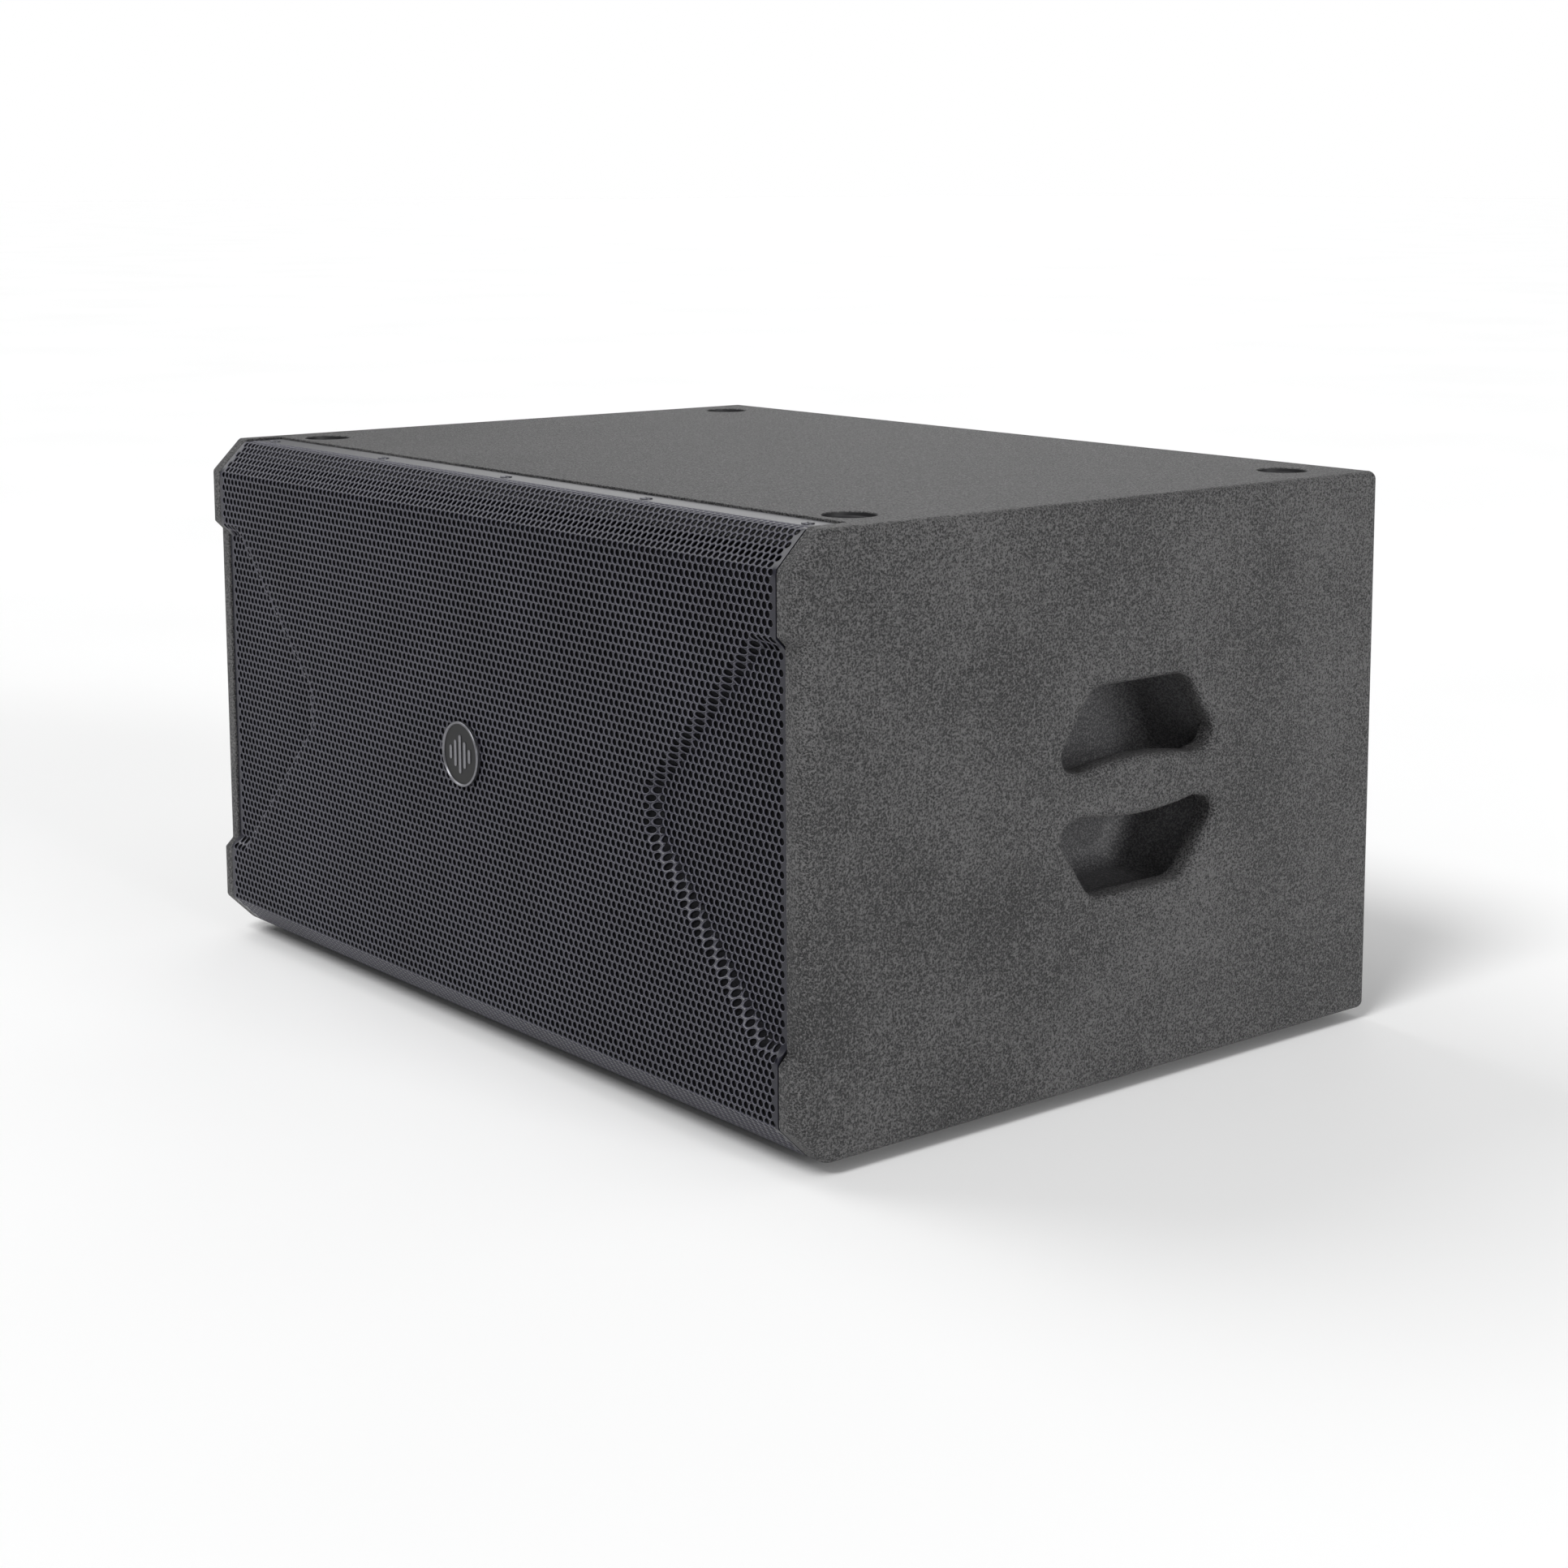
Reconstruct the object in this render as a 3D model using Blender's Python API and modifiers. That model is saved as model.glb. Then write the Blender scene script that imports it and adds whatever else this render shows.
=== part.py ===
"""Powered subwoofer cabinet with two 12-inch drivers, built piece by piece.

Metres, +Z up, +X to the right of somebody who looks at the grille. The front faces -Y. The origin is on the
floor, under the middle of the cabinet, and the rubber feet stand at Z = 0.
"""

import bmesh
import bpy
from math import asin, atan2, cos, pi, radians, sin, tan
from mathutils import Matrix, Vector

# Driving dimensions of the cabinet
WIDTH = 0.750
DEPTH = 0.532
BODY_HEIGHT = 0.395
FOOT_HEIGHT = 0.008
SIDE_T = 0.018
PANEL_T = 0.015
CHAMFER = 0.0245
EDGE_ROUND = 0.006
FRONT_CORNER_ROUND = 0.012
GAP = 0.0003
BADGE_RISE = 0.0030

# Places worked out from them; the badge stands proud of the front, and the origin is central with it
BACK = (DEPTH + BADGE_RISE) / 2
FRONT = BACK - DEPTH
BASE = FOOT_HEIGHT
TOP = FOOT_HEIGHT + BODY_HEIGHT
MID_Z = (BASE + TOP) / 2
INNER_X = WIDTH / 2 - SIDE_T

# Step in the front edge of each side panel, and the wings pressed into the grille
NOTCH = 0.0065
NOTCH_LOW = BASE + 0.18 * BODY_HEIGHT
NOTCH_HIGH = BASE + 0.82 * BODY_HEIGHT
WING_LOW = NOTCH_LOW - 0.0040
WING_HIGH = NOTCH_HIGH + 0.0050
WING_SINK = NOTCH + 0.0015
WING_STEP_W = 0.0070
WING_NOSE_X = 0.219
WING_NOSE_Z = MID_Z + 0.0025
WING_NOSE_HALF = 0.0170
SHEET_T = 0.0015
FLANGE_END = 0.0540
FLANGE_DROP = 0.0015
BADGE_Z = MID_Z + 0.0035
BADGE_R = 0.0232
FOAM_T = 0.006

# Hand hole in each side panel
HANDLE_Y = FRONT + 0.554 * DEPTH
HANDLE_Z = BASE + 0.508 * BODY_HEIGHT
HANDLE_HALF_W = 0.0785
HANDLE_HALF_TOP = 0.044
HANDLE_HALF_H = 0.071
GRIP_HALF_H = 0.0150
GRIP_BULGE = 0.0050
CUP_DEPTH = 0.062
CUP_WALL = 0.003
CUP_MARGIN = 0.008

# Stacking recesses and feet
FOOT_X = 0.328
FOOT_Y_FRONT = FRONT + 0.081
FOOT_Y_BACK = BACK - 0.050
RECESS_R = 0.0175
RECESS_DEPTH = 0.0038
FOOT_R_TOP = 0.0165
FOOT_R_LOW = 0.0145

# Inside
BAFFLE_FRONT = FRONT + 0.042
BAFFLE_T = 0.018
DRIVER_X = 0.190
DRIVER_CUTOUT_R = 0.142
PORT_Z = 0.122
PORT_R = 0.0425
PORT_WALL = 0.003
PORT_LENGTH = 0.160
REAR_RECESS = 0.022
REAR_T = 0.018
REAR_OUTER = BACK - REAR_RECESS

# Amplifier module
AMP_W = 0.320
AMP_H = 0.240
AMP_RIM = 0.010
AMP_T = 0.003
AMP_FACE = REAR_OUTER + GAP + AMP_T
SCREW_X = [-0.3380, -0.1690, 0.0, 0.1690, 0.3380]
SCREW_Y = FRONT + 0.0400
ROUND = 24


def clear_scene():
    for thing in list(bpy.data.objects):
        bpy.data.objects.remove(thing, do_unlink=True)


def new_collection(name):
    collection = bpy.data.collections.new(name)
    bpy.context.scene.collection.children.link(collection)
    return collection


clear_scene()
PARTS = new_collection("subwoofer_cabinet")
CUTTERS = new_collection("cutters")


def make_material(name, colour, roughness, metallic=0.0):
    material = bpy.data.materials.new(name)
    material.use_nodes = True
    shader = material.node_tree.nodes["Principled BSDF"]
    shader.inputs["Base Color"].default_value = (*colour, 1.0)
    shader.inputs["Roughness"].default_value = roughness
    shader.inputs["Metallic"].default_value = metallic
    return material


# Colour, roughness and metallic value of what each piece is made of
FINISHES = {
    "coated_wood": ((0.060, 0.060, 0.062), 0.75, 0.0),
    "bare_wood": ((0.45, 0.33, 0.20), 0.70, 0.0),
    "black_steel": ((0.050, 0.050, 0.056), 0.45, 0.6),
    "zinc_steel": ((0.60, 0.60, 0.60), 0.35, 1.0),
    "ferrite": ((0.04, 0.04, 0.045), 0.60, 0.0),
    "paper": ((0.035, 0.035, 0.035), 0.85, 0.0),
    "black_cloth": ((0.03, 0.03, 0.03), 0.90, 0.0),
    "spider_cloth": ((0.45, 0.30, 0.12), 0.90, 0.0),
    "copper": ((0.72, 0.36, 0.20), 0.35, 1.0),
    "foam": ((0.012, 0.012, 0.013), 0.95, 0.0),
    "rubber": ((0.02, 0.02, 0.02), 0.80, 0.0),
    "aluminium": ((0.08, 0.08, 0.085), 0.45, 0.9),
    "black_plastic": ((0.02, 0.02, 0.021), 0.45, 0.0),
    "board_green": ((0.02, 0.12, 0.05), 0.50, 0.0),
    "nickel": ((0.70, 0.70, 0.68), 0.25, 1.0),
}


def finish(obj, name, finish_name, collection=PARTS):
    """Names an object, gives it a material of its own and files it with the parts."""
    for owner in list(obj.users_collection):
        owner.objects.unlink(obj)
    collection.objects.link(obj)
    obj.name = name
    obj.data.name = name
    obj.data.materials.clear()
    obj.data.materials.append(make_material(name, *FINISHES[finish_name]))
    return obj


def as_cutter(obj, name):
    for owner in list(obj.users_collection):
        owner.objects.unlink(obj)
    CUTTERS.objects.link(obj)
    obj.name = name
    obj.hide_render = True
    obj.display_type = "WIRE"
    return obj


def cut(obj, cutter, operation="DIFFERENCE"):
    modifier = obj.modifiers.new("cut_" + cutter.name, "BOOLEAN")
    modifier.operation = operation
    modifier.solver = "EXACT"
    modifier.object = cutter
    return modifier


def bevel(obj, width, segments=1, angle=30):
    modifier = obj.modifiers.new("edges", "BEVEL")
    modifier.width = width
    modifier.segments = segments
    modifier.limit_method = "ANGLE"
    modifier.angle_limit = radians(angle)
    return modifier


def smooth(obj, angle=35):
    obj.data.shade_smooth()
    obj.data.set_sharp_from_angle(angle=radians(angle))
    return obj


def block(low, high):
    """A box between two corners, with its scale applied."""
    centre = [(a + b) / 2 for a, b in zip(low, high)]
    bpy.ops.mesh.primitive_cube_add(size=1.0, location=centre)
    obj = bpy.context.active_object
    obj.data.transform(Matrix.Diagonal([b - a for a, b in zip(low, high)] + [1.0]))
    return obj


def rod(radius, low, high, x, z, vertices=ROUND):
    """A cylinder along Y between two Y values."""
    bpy.ops.mesh.primitive_cylinder_add(
        vertices=vertices,
        radius=radius,
        depth=high - low,
        location=(x, (low + high) / 2, z),
        rotation=(pi / 2, 0, 0),
    )
    return bpy.context.active_object


def post(radius, low, high, x, y, vertices=24):
    """A cylinder along Z between two heights."""
    bpy.ops.mesh.primitive_cylinder_add(
        vertices=vertices, radius=radius, depth=high - low, location=(x, y, (low + high) / 2)
    )
    return bpy.context.active_object


def turned(profile, location, axis="FRONT", steps=ROUND, closed=True):
    """A closed profile of (radius, height) pairs turned about its own Z, which then points to an axis."""
    mesh = bpy.data.meshes.new("turned")
    shape = bmesh.new()
    points = [shape.verts.new((r, 0.0, h)) for r, h in profile]
    pairs = zip(points, points[1:] + points[:1]) if closed else zip(points, points[1:])
    for a, b in pairs:
        shape.edges.new((a, b))
    shape.to_mesh(mesh)
    shape.free()
    obj = bpy.data.objects.new("turned", mesh)
    PARTS.objects.link(obj)
    screw = obj.modifiers.new("turn", "SCREW")
    screw.steps = steps
    screw.render_steps = steps
    screw.use_merge_vertices = True
    screw.merge_threshold = 0.00005
    screw.use_smooth_shade = True
    obj.location = location
    turns = {"FRONT": (pi / 2, 0, 0), "REAR": (-pi / 2, 0, 0), "UP": (0, 0, 0)}
    obj.rotation_euler = turns[axis]
    return obj


def corner_arc(before, corner, after, radius, steps=4):
    """Points of the arc that rounds one corner of an outline."""
    to_before = (Vector(before) - Vector(corner)).normalized()
    to_after = (Vector(after) - Vector(corner)).normalized()
    half = to_before.angle(to_after) / 2
    run = radius / tan(half)
    centre = Vector(corner) + (to_before + to_after).normalized() * (radius / sin(half))
    start = Vector(corner) + to_before * run - centre
    end = Vector(corner) + to_after * run - centre
    turn = start.angle_signed(end)
    points = []
    for i in range(steps + 1):
        angle = -turn * i / steps
        swung = Vector(
            (start.x * cos(angle) - start.y * sin(angle), start.x * sin(angle) + start.y * cos(angle))
        )
        points.append(tuple(centre + swung))
    return points


def rounded(corners, steps=3):
    """An outline from (a, b, radius) corners, with an arc at each corner that has a radius."""
    outline = []
    for i, (a, b, radius) in enumerate(corners):
        before = corners[i - 1][:2]
        after = corners[(i + 1) % len(corners)][:2]
        if radius > 0:
            outline += corner_arc(before, (a, b), after, radius, steps)
        else:
            outline.append((a, b))
    return outline


def slab(outlines, thickness, location, rotation):
    """A flat plate from closed outlines, the first its edge and the rest its holes, made a mesh."""
    curve = bpy.data.curves.new("slab", "CURVE")
    curve.dimensions = "2D"
    curve.fill_mode = "BOTH"
    curve.extrude = thickness / 2
    for outline in outlines:
        spline = curve.splines.new("POLY")
        spline.points.add(len(outline) - 1)
        for point, (a, b) in zip(spline.points, outline):
            point.co = (a, b, 0, 1)
        spline.use_cyclic_u = True
    guide = bpy.data.objects.new("slab_curve", curve)
    PARTS.objects.link(guide)
    guide.location = location
    guide.rotation_euler = rotation
    bpy.context.view_layer.update()
    graph = bpy.context.evaluated_depsgraph_get()
    mesh = bpy.data.meshes.new_from_object(guide.evaluated_get(graph))
    shape = bmesh.new()
    shape.from_mesh(mesh)
    bmesh.ops.remove_doubles(shape, verts=shape.verts, dist=0.00001)
    bmesh.ops.recalc_face_normals(shape, faces=shape.faces)
    shape.to_mesh(mesh)
    shape.free()
    obj = bpy.data.objects.new("slab", mesh)
    obj.matrix_world = guide.matrix_world.copy()
    PARTS.objects.link(obj)
    bpy.data.objects.remove(guide, do_unlink=True)
    return obj


# Turns of a flat outline: (a, b) become (Y, Z), (X, Z) or (X, Y)
SIDEWAYS = (pi / 2, 0, pi / 2)
UPRIGHT = (pi / 2, 0, 0)
LEVEL = (0, 0, 0)


def grip_edge(sign, steps=6):
    """One edge of the curved grip bar, from its front end to its rear end, as (Y, Z) points."""
    points = []
    half = HANDLE_HALF_W - 0.0245
    for i in range(steps + 1):
        t = -1 + 2 * i / steps
        rise = GRIP_HALF_H + GRIP_BULGE * (1 - t * t)
        points.append((HANDLE_Y + half * t, HANDLE_Z + sign * rise))
    return points


def hand_slot(sign):
    """One of the two openings beside the grip bar, as a closed outline of (Y, Z) points."""
    wide = HANDLE_HALF_W
    shoulder = HANDLE_Z + sign * (GRIP_HALF_H + 0.004)
    far = HANDLE_Z + sign * HANDLE_HALF_H
    corners = [
        (HANDLE_Y + wide, shoulder, 0.010),
        (HANDLE_Y + HANDLE_HALF_TOP, far, 0.018),
        (HANDLE_Y - HANDLE_HALF_TOP, far, 0.018),
        (HANDLE_Y - wide, shoulder, 0.010),
    ]
    hexagon = []
    for i, (a, b, radius) in enumerate(corners):
        before = corners[i - 1][:2] if i else grip_edge(sign)[-1]
        after = corners[i + 1][:2] if i < 3 else grip_edge(sign)[0]
        hexagon += corner_arc(before, (a, b), after, radius, 2)
    return grip_edge(sign) + hexagon


def side_outline():
    """The side panel's edge as (Y, Z) points, with its chamfers, its stepped front and its rounded corners."""
    low, high, step = NOTCH_LOW, NOTCH_HIGH, NOTCH
    corners = [
        (FRONT + CHAMFER, BASE, FRONT_CORNER_ROUND),
        (BACK, BASE, EDGE_ROUND),
        (BACK, TOP, EDGE_ROUND),
        (FRONT + CHAMFER, TOP, EDGE_ROUND),
        (FRONT, TOP - CHAMFER, EDGE_ROUND),
        (FRONT, high + step, 0),
        (FRONT + step, high, 0),
        (FRONT + step, low, 0),
        (FRONT, low - step, 0),
        (FRONT, BASE + CHAMFER, EDGE_ROUND),
    ]
    return rounded(corners, 2)


def make_side_panel(name, side):
    middle = side * (WIDTH / 2 - SIDE_T / 2)
    panel = slab([side_outline()], SIDE_T, (middle, 0, 0), SIDEWAYS)
    for sign, label in ((1, "upper"), (-1, "lower")):
        hole = slab([hand_slot(sign)], SIDE_T * 2, (middle, 0, 0), SIDEWAYS)
        cut(panel, as_cutter(hole, f"{name}_{label}_slot"))
    bevel(panel, 0.003, 1, 50)
    return finish(panel, name, "coated_wood")


def cup_outline(margin):
    """The handle cup's outline as (Y, Z) points, larger than the hand hole by a margin."""
    wide = HANDLE_HALF_W + margin
    narrow = HANDLE_HALF_TOP + margin
    tall = HANDLE_HALF_H + margin
    corners = [
        (HANDLE_Y + wide, HANDLE_Z, 0),
        (HANDLE_Y + narrow, HANDLE_Z + tall, 0),
        (HANDLE_Y - narrow, HANDLE_Z + tall, 0),
        (HANDLE_Y - wide, HANDLE_Z, 0),
        (HANDLE_Y - narrow, HANDLE_Z - tall, 0),
        (HANDLE_Y + narrow, HANDLE_Z - tall, 0),
    ]
    return rounded(corners)


def make_handle_cup(name, side):
    outer = INNER_X - GAP
    middle = side * (outer - CUP_DEPTH / 2)
    cup = slab([cup_outline(CUP_MARGIN + CUP_WALL)], CUP_DEPTH, (middle, 0, 0), SIDEWAYS)
    pocket_middle = middle + side * CUP_WALL
    pocket = slab([cup_outline(CUP_MARGIN)], CUP_DEPTH, (pocket_middle, 0, 0), SIDEWAYS)
    cut(cup, as_cutter(pocket, name + "_pocket"))
    return finish(cup, name, "black_plastic")


def make_top_panel():
    half = INNER_X - GAP
    seat = FLANGE_DROP + SHEET_T + GAP
    outline = [
        (FRONT + 0.0285, TOP - PANEL_T),
        (BACK, TOP - PANEL_T),
        (BACK, TOP),
        (FRONT + FLANGE_END + 0.0015, TOP),
        (FRONT + FLANGE_END + 0.0015, TOP - seat),
        (FRONT + 0.0285, TOP - seat),
    ]
    panel = slab([outline], 2 * half, (0, 0, 0), SIDEWAYS)
    for x in (-FOOT_X, FOOT_X):
        for y in (FOOT_Y_FRONT, FOOT_Y_BACK):
            recess = post(RECESS_R, TOP - RECESS_DEPTH, TOP + 0.01, x, y)
            cut(panel, as_cutter(recess, "stacking_recess"))
    for i, x in enumerate(SCREW_X):
        hole = post(0.0024, TOP - 0.0125, TOP + 0.01, x, SCREW_Y, 8)
        cut(panel, as_cutter(hole, f"top_screw_hole_{i}"))
    return finish(panel, "top_panel", "coated_wood")


def make_bottom_panel():
    half = INNER_X - GAP
    seat = FLANGE_DROP + SHEET_T + GAP
    outline = [
        (FRONT + 0.0285, BASE + seat),
        (FRONT + FLANGE_END + 0.0015, BASE + seat),
        (FRONT + FLANGE_END + 0.0015, BASE),
        (BACK, BASE),
        (BACK, BASE + PANEL_T),
        (FRONT + 0.0285, BASE + PANEL_T),
    ]
    panel = slab([outline], 2 * half, (0, 0, 0), SIDEWAYS)
    for i, x in enumerate(SCREW_X):
        hole = post(0.0024, BASE - 0.01, BASE + 0.0125, x, SCREW_Y, 8)
        cut(panel, as_cutter(hole, f"bottom_screw_hole_{i}"))
    return finish(panel, "bottom_panel", "coated_wood")


def make_rear_panel():
    half = INNER_X - GAP
    low = BASE + PANEL_T + GAP
    high = TOP - PANEL_T - GAP
    panel = block((-half, REAR_OUTER - REAR_T, low), (half, REAR_OUTER, high))
    window = block(
        (-AMP_W / 2 + AMP_RIM, REAR_OUTER - 2 * REAR_T, MID_Z - AMP_H / 2 + AMP_RIM),
        (AMP_W / 2 - AMP_RIM, REAR_OUTER + REAR_T, MID_Z + AMP_H / 2 - AMP_RIM),
    )
    cut(panel, as_cutter(window, "amplifier_window"))
    return finish(panel, "rear_panel", "coated_wood")


def make_baffle():
    half = INNER_X - GAP
    low = BASE + PANEL_T + GAP
    high = TOP - PANEL_T - GAP
    back = BAFFLE_FRONT + BAFFLE_T
    panel = block((-half, BAFFLE_FRONT, low), (half, back, high))
    for x, label in ((-DRIVER_X, "left"), (DRIVER_X, "right")):
        hole = rod(DRIVER_CUTOUT_R, BAFFLE_FRONT - 0.02, back + 0.02, x, MID_Z)
        cut(panel, as_cutter(hole, "driver_cutout_" + label))
    for z, label in ((PORT_Z, "upper"), (-PORT_Z, "lower")):
        hole = rod(PORT_R + PORT_WALL + GAP, BAFFLE_FRONT - 0.02, back + 0.02, 0, MID_Z + z)
        cut(panel, as_cutter(hole, "port_cutout_" + label))
    return finish(panel, "baffle", "bare_wood")


def make_brace():
    """The window brace that ties top and bottom together behind the drivers."""
    low = BASE + PANEL_T + GAP
    high = TOP - PANEL_T - GAP
    front = BAFFLE_FRONT + BAFFLE_T + PORT_LENGTH
    back = REAR_OUTER - REAR_T - 0.075
    half_h = (high - low) / 2 - 0.045
    edge = [(front, low), (back, low), (back, high), (front, high)]
    window = rounded(
        [
            (front + 0.035, MID_Z - half_h, 0.02),
            (back - 0.035, MID_Z - half_h, 0.02),
            (back - 0.035, MID_Z + half_h, 0.02),
            (front + 0.035, MID_Z + half_h, 0.02),
        ]
    )
    brace = slab([edge, window], PANEL_T, (0, 0, 0), SIDEWAYS)
    return finish(brace, "centre_brace", "bare_wood")


def wing_outline(inset, edge):
    """The right wing's (X, Z) corners, moved inwards by an inset. Its slanted edges lie at 45 degrees."""
    low = WING_LOW + inset
    high = WING_HIGH - inset
    nose = WING_NOSE_X + inset
    nose_half = WING_NOSE_HALF - inset * (2**0.5 - 1)
    nose_low = WING_NOSE_Z - nose_half
    nose_high = WING_NOSE_Z + nose_half
    lower = [(edge, low), (nose + nose_low - low, low), (nose, nose_low)]
    upper = [(nose, nose_high), (nose + high - nose_high, high), (edge, high)]
    return lower + upper


def folded_half(inset, flange_end, rise_end):
    """The right half of the grille's folded shape, as an open mesh that ends at X = 0.

    The chamfers, the flat front and the pressed-in wing all move inwards by the inset. rise_end is how far
    the chamfer stops short of the top face, and flange_end is where the flange ends behind the front.
    """
    slant = inset * (2**0.5 - 1)
    front = FRONT + inset
    edge = INNER_X - GAP
    low = BASE + CHAMFER + slant
    high = TOP - CHAMFER - slant
    spread = inset * tan(atan2(WING_SINK, WING_STEP_W) / 2)

    mesh = bpy.data.meshes.new("folded")
    shape = bmesh.new()

    def vert(x, y, z):
        return shape.verts.new((x, y, z))

    lower_edge = [vert(0, front, low), vert(edge, front, low)]
    wing = [vert(x, front, z) for x, z in wing_outline(-spread, edge)]
    floor = [vert(x, front + WING_SINK, z) for x, z in wing_outline(WING_STEP_W - spread, edge)]
    upper_edge = [vert(edge, front, high), vert(0, front, high)]
    shape.faces.new(lower_edge + wing + upper_edge)
    shape.faces.new(floor)
    for i in range(len(wing) - 1):
        shape.faces.new((wing[i + 1], wing[i], floor[i], floor[i + 1]))
    for side, inner in ((-1, lower_edge), (1, upper_edge[::-1])):
        limit = BASE + inset if side < 0 else TOP - inset
        end = limit - side * rise_end
        drop = CHAMFER + slant - rise_end
        near, far = inner[0], inner[1]
        a = vert(0, front + drop, end)
        b = vert(edge, front + drop, end)
        faces = [(near, a, b, far)] if side < 0 else [(near, far, b, a)]
        if flange_end:
            c = vert(0, FRONT + flange_end, end)
            d = vert(edge, FRONT + flange_end, end)
            faces.append((a, c, d, b) if side < 0 else (a, b, d, c))
        for face in faces:
            shape.faces.new(face)
    bmesh.ops.recalc_face_normals(shape, faces=shape.faces)
    shape.to_mesh(mesh)
    shape.free()
    return mesh


def folded_sheet(name, inset, thickness, flange_end, rise_end, finish_name):
    obj = bpy.data.objects.new(name, folded_half(inset, flange_end, rise_end))
    PARTS.objects.link(obj)
    mirror = obj.modifiers.new("other_half", "MIRROR")
    mirror.merge_threshold = 0.0001
    solid = obj.modifiers.new("sheet", "SOLIDIFY")
    solid.thickness = thickness
    solid.use_even_offset = True
    solid.offset = -1
    if obj.data.polygons[0].normal.y > 0:
        solid.offset = 1
    return finish(obj, name, finish_name)


def make_grille():
    grille = folded_sheet("grille", 0.0, SHEET_T, FLANGE_END, FLANGE_DROP, "black_steel")
    for z, label in ((TOP, "top"), (BASE, "bottom")):
        for i, x in enumerate(SCREW_X):
            hole = post(0.0024, z - 0.006, z + 0.006, x, SCREW_Y, 8)
            cut(grille, as_cutter(hole, f"grille_{label}_hole_{i}"))
    return grille


def make_badge():
    """A shallow disc with a raised rim, fixed to the middle of the grille."""
    profile = [
        (0.0, 0.0020),
        (BADGE_R - 0.0045, 0.0020),
        (BADGE_R - 0.0035, BADGE_RISE),
        (BADGE_R - 0.0015, BADGE_RISE),
        (BADGE_R, 0.0018),
        (BADGE_R, 0.0003),
        (0.0, 0.0003),
    ]
    badge = turned(profile, (0, FRONT, BADGE_Z), "FRONT", 32, closed=False)
    return finish(smooth(badge, 25), "badge", "black_plastic")


def make_grille_screw(name, x, z, up):
    """A low-head screw whose shank runs through the flange into the panel."""
    top = 0.0010
    profile = [
        (0.0, top),
        (0.0030, top),
        (0.0042, GAP),
        (0.0021, GAP),
        (0.0021, -0.0095),
        (0.0, -0.0110),
    ]
    screw = turned(profile, (x, SCREW_Y, z), "UP", 8, closed=False)
    screw.rotation_euler = (0, 0, 0) if up else (pi, 0, 0)
    return finish(smooth(screw), name, "nickel")


def make_foot(name, x, y):
    profile = [
        (0.0, FOOT_HEIGHT - GAP),
        (FOOT_R_TOP, FOOT_HEIGHT - GAP),
        (FOOT_R_TOP, FOOT_HEIGHT - 0.002),
        (FOOT_R_LOW + 0.0012, 0.0),
        (FOOT_R_LOW - 0.004, 0.0),
        (0.0, 0.0),
    ]
    foot = turned(profile, (x, y, 0), "UP", 20, closed=False)
    return finish(smooth(foot), name, "rubber")


def make_port(name, z):
    outer = PORT_R + PORT_WALL
    profile = [
        (PORT_R + 0.010, 0.0040),
        (PORT_R + 0.012, 0.0025),
        (PORT_R + 0.012, GAP),
        (outer, GAP),
        (outer, -PORT_LENGTH),
        (PORT_R, -PORT_LENGTH),
        (PORT_R, -0.006),
        (PORT_R + 0.003, 0.0020),
    ]
    port = turned(profile, (0, BAFFLE_FRONT, z), "FRONT")
    return finish(smooth(port), name, "black_plastic")


# Driver profiles: (radius, height), where height 0 is the baffle's front face and positive is outwards
BASKET = [
    (0.1550, 0.0043),
    (0.1550, GAP),
    (0.1405, GAP),
    (0.1405, -0.0200),
    (0.0860, -0.0830),
    (0.0860, -0.0950),
    (0.0450, -0.0950),
    (0.0450, -0.0910),
    (0.0740, -0.0910),
    (0.0740, -0.0700),
    (0.0897, -0.0700),
    (0.1365, -0.0180),
    (0.1365, 0.0043),
]
TOP_PLATE = [(0.0800, -0.0953), (0.0800, -0.1033), (0.0395, -0.1033), (0.0395, -0.0953)]
MAGNET = [(0.0950, -0.1036), (0.0950, -0.1236), (0.0500, -0.1236), (0.0500, -0.1036)]
BACK_PLATE = [
    (0.0, -0.0940),
    (0.0345, -0.0940),
    (0.0345, -0.1239),
    (0.0900, -0.1239),
    (0.0900, -0.1300),
    (0.0860, -0.1330),
    (0.0, -0.1330),
]
VOICE_COIL = [(0.0375, -0.0440), (0.0375, -0.1120), (0.0360, -0.1120), (0.0360, -0.0440)]
CONE_IN_R, CONE_OUT_R = 0.0378, 0.1220
CONE_IN_H, CONE_OUT_H = -0.0475, -0.0030
CONE = [
    (CONE_OUT_R, CONE_OUT_H),
    (CONE_OUT_R, CONE_OUT_H - 0.0018),
    (0.0800, -0.0300),
    (CONE_IN_R, CONE_IN_H - 0.0040),
    (CONE_IN_R, CONE_IN_H),
    (0.0800, -0.0275),
]
SPIDER_Z = -0.0697


def surround_profile():
    """A half roll between the cone's edge and a flat lip on the basket's flange."""
    inner, outer, thickness = CONE_OUT_R + GAP, 0.1385, 0.0012
    middle = (inner + outer) / 2
    radius = (outer - inner) / 2
    steps = 4
    upper = []
    lower = []
    for i in range(steps + 1):
        angle = pi * i / steps
        lift = CONE_OUT_H + (0.0046 - CONE_OUT_H) * i / steps
        upper.append((middle - radius * cos(angle), lift + thickness + radius * sin(angle)))
        lower.append((middle - (radius - thickness) * cos(angle), lift + (radius - thickness) * sin(angle)))
    lip_top = [(0.1540, 0.0046 + thickness)]
    lip_low = [(0.1540, 0.0046)]
    return upper + lip_top + lip_low + lower[::-1]


def spider_profile():
    """A corrugated disc from the voice coil to the basket's seat, as a closed thin section."""
    inner, outer, thickness = VOICE_COIL[0][0] + GAP, 0.0880, 0.0008
    waves, steps = 2, 8
    upper = []
    lower = []
    for i in range(steps + 1):
        t = i / steps
        radius = inner + (outer - inner) * t
        lift = 0.0020 * (1 - cos(2 * pi * waves * t)) / 2
        upper.append((radius, SPIDER_Z + thickness + lift))
        lower.append((radius, SPIDER_Z + lift))
    return upper + lower[::-1]


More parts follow.
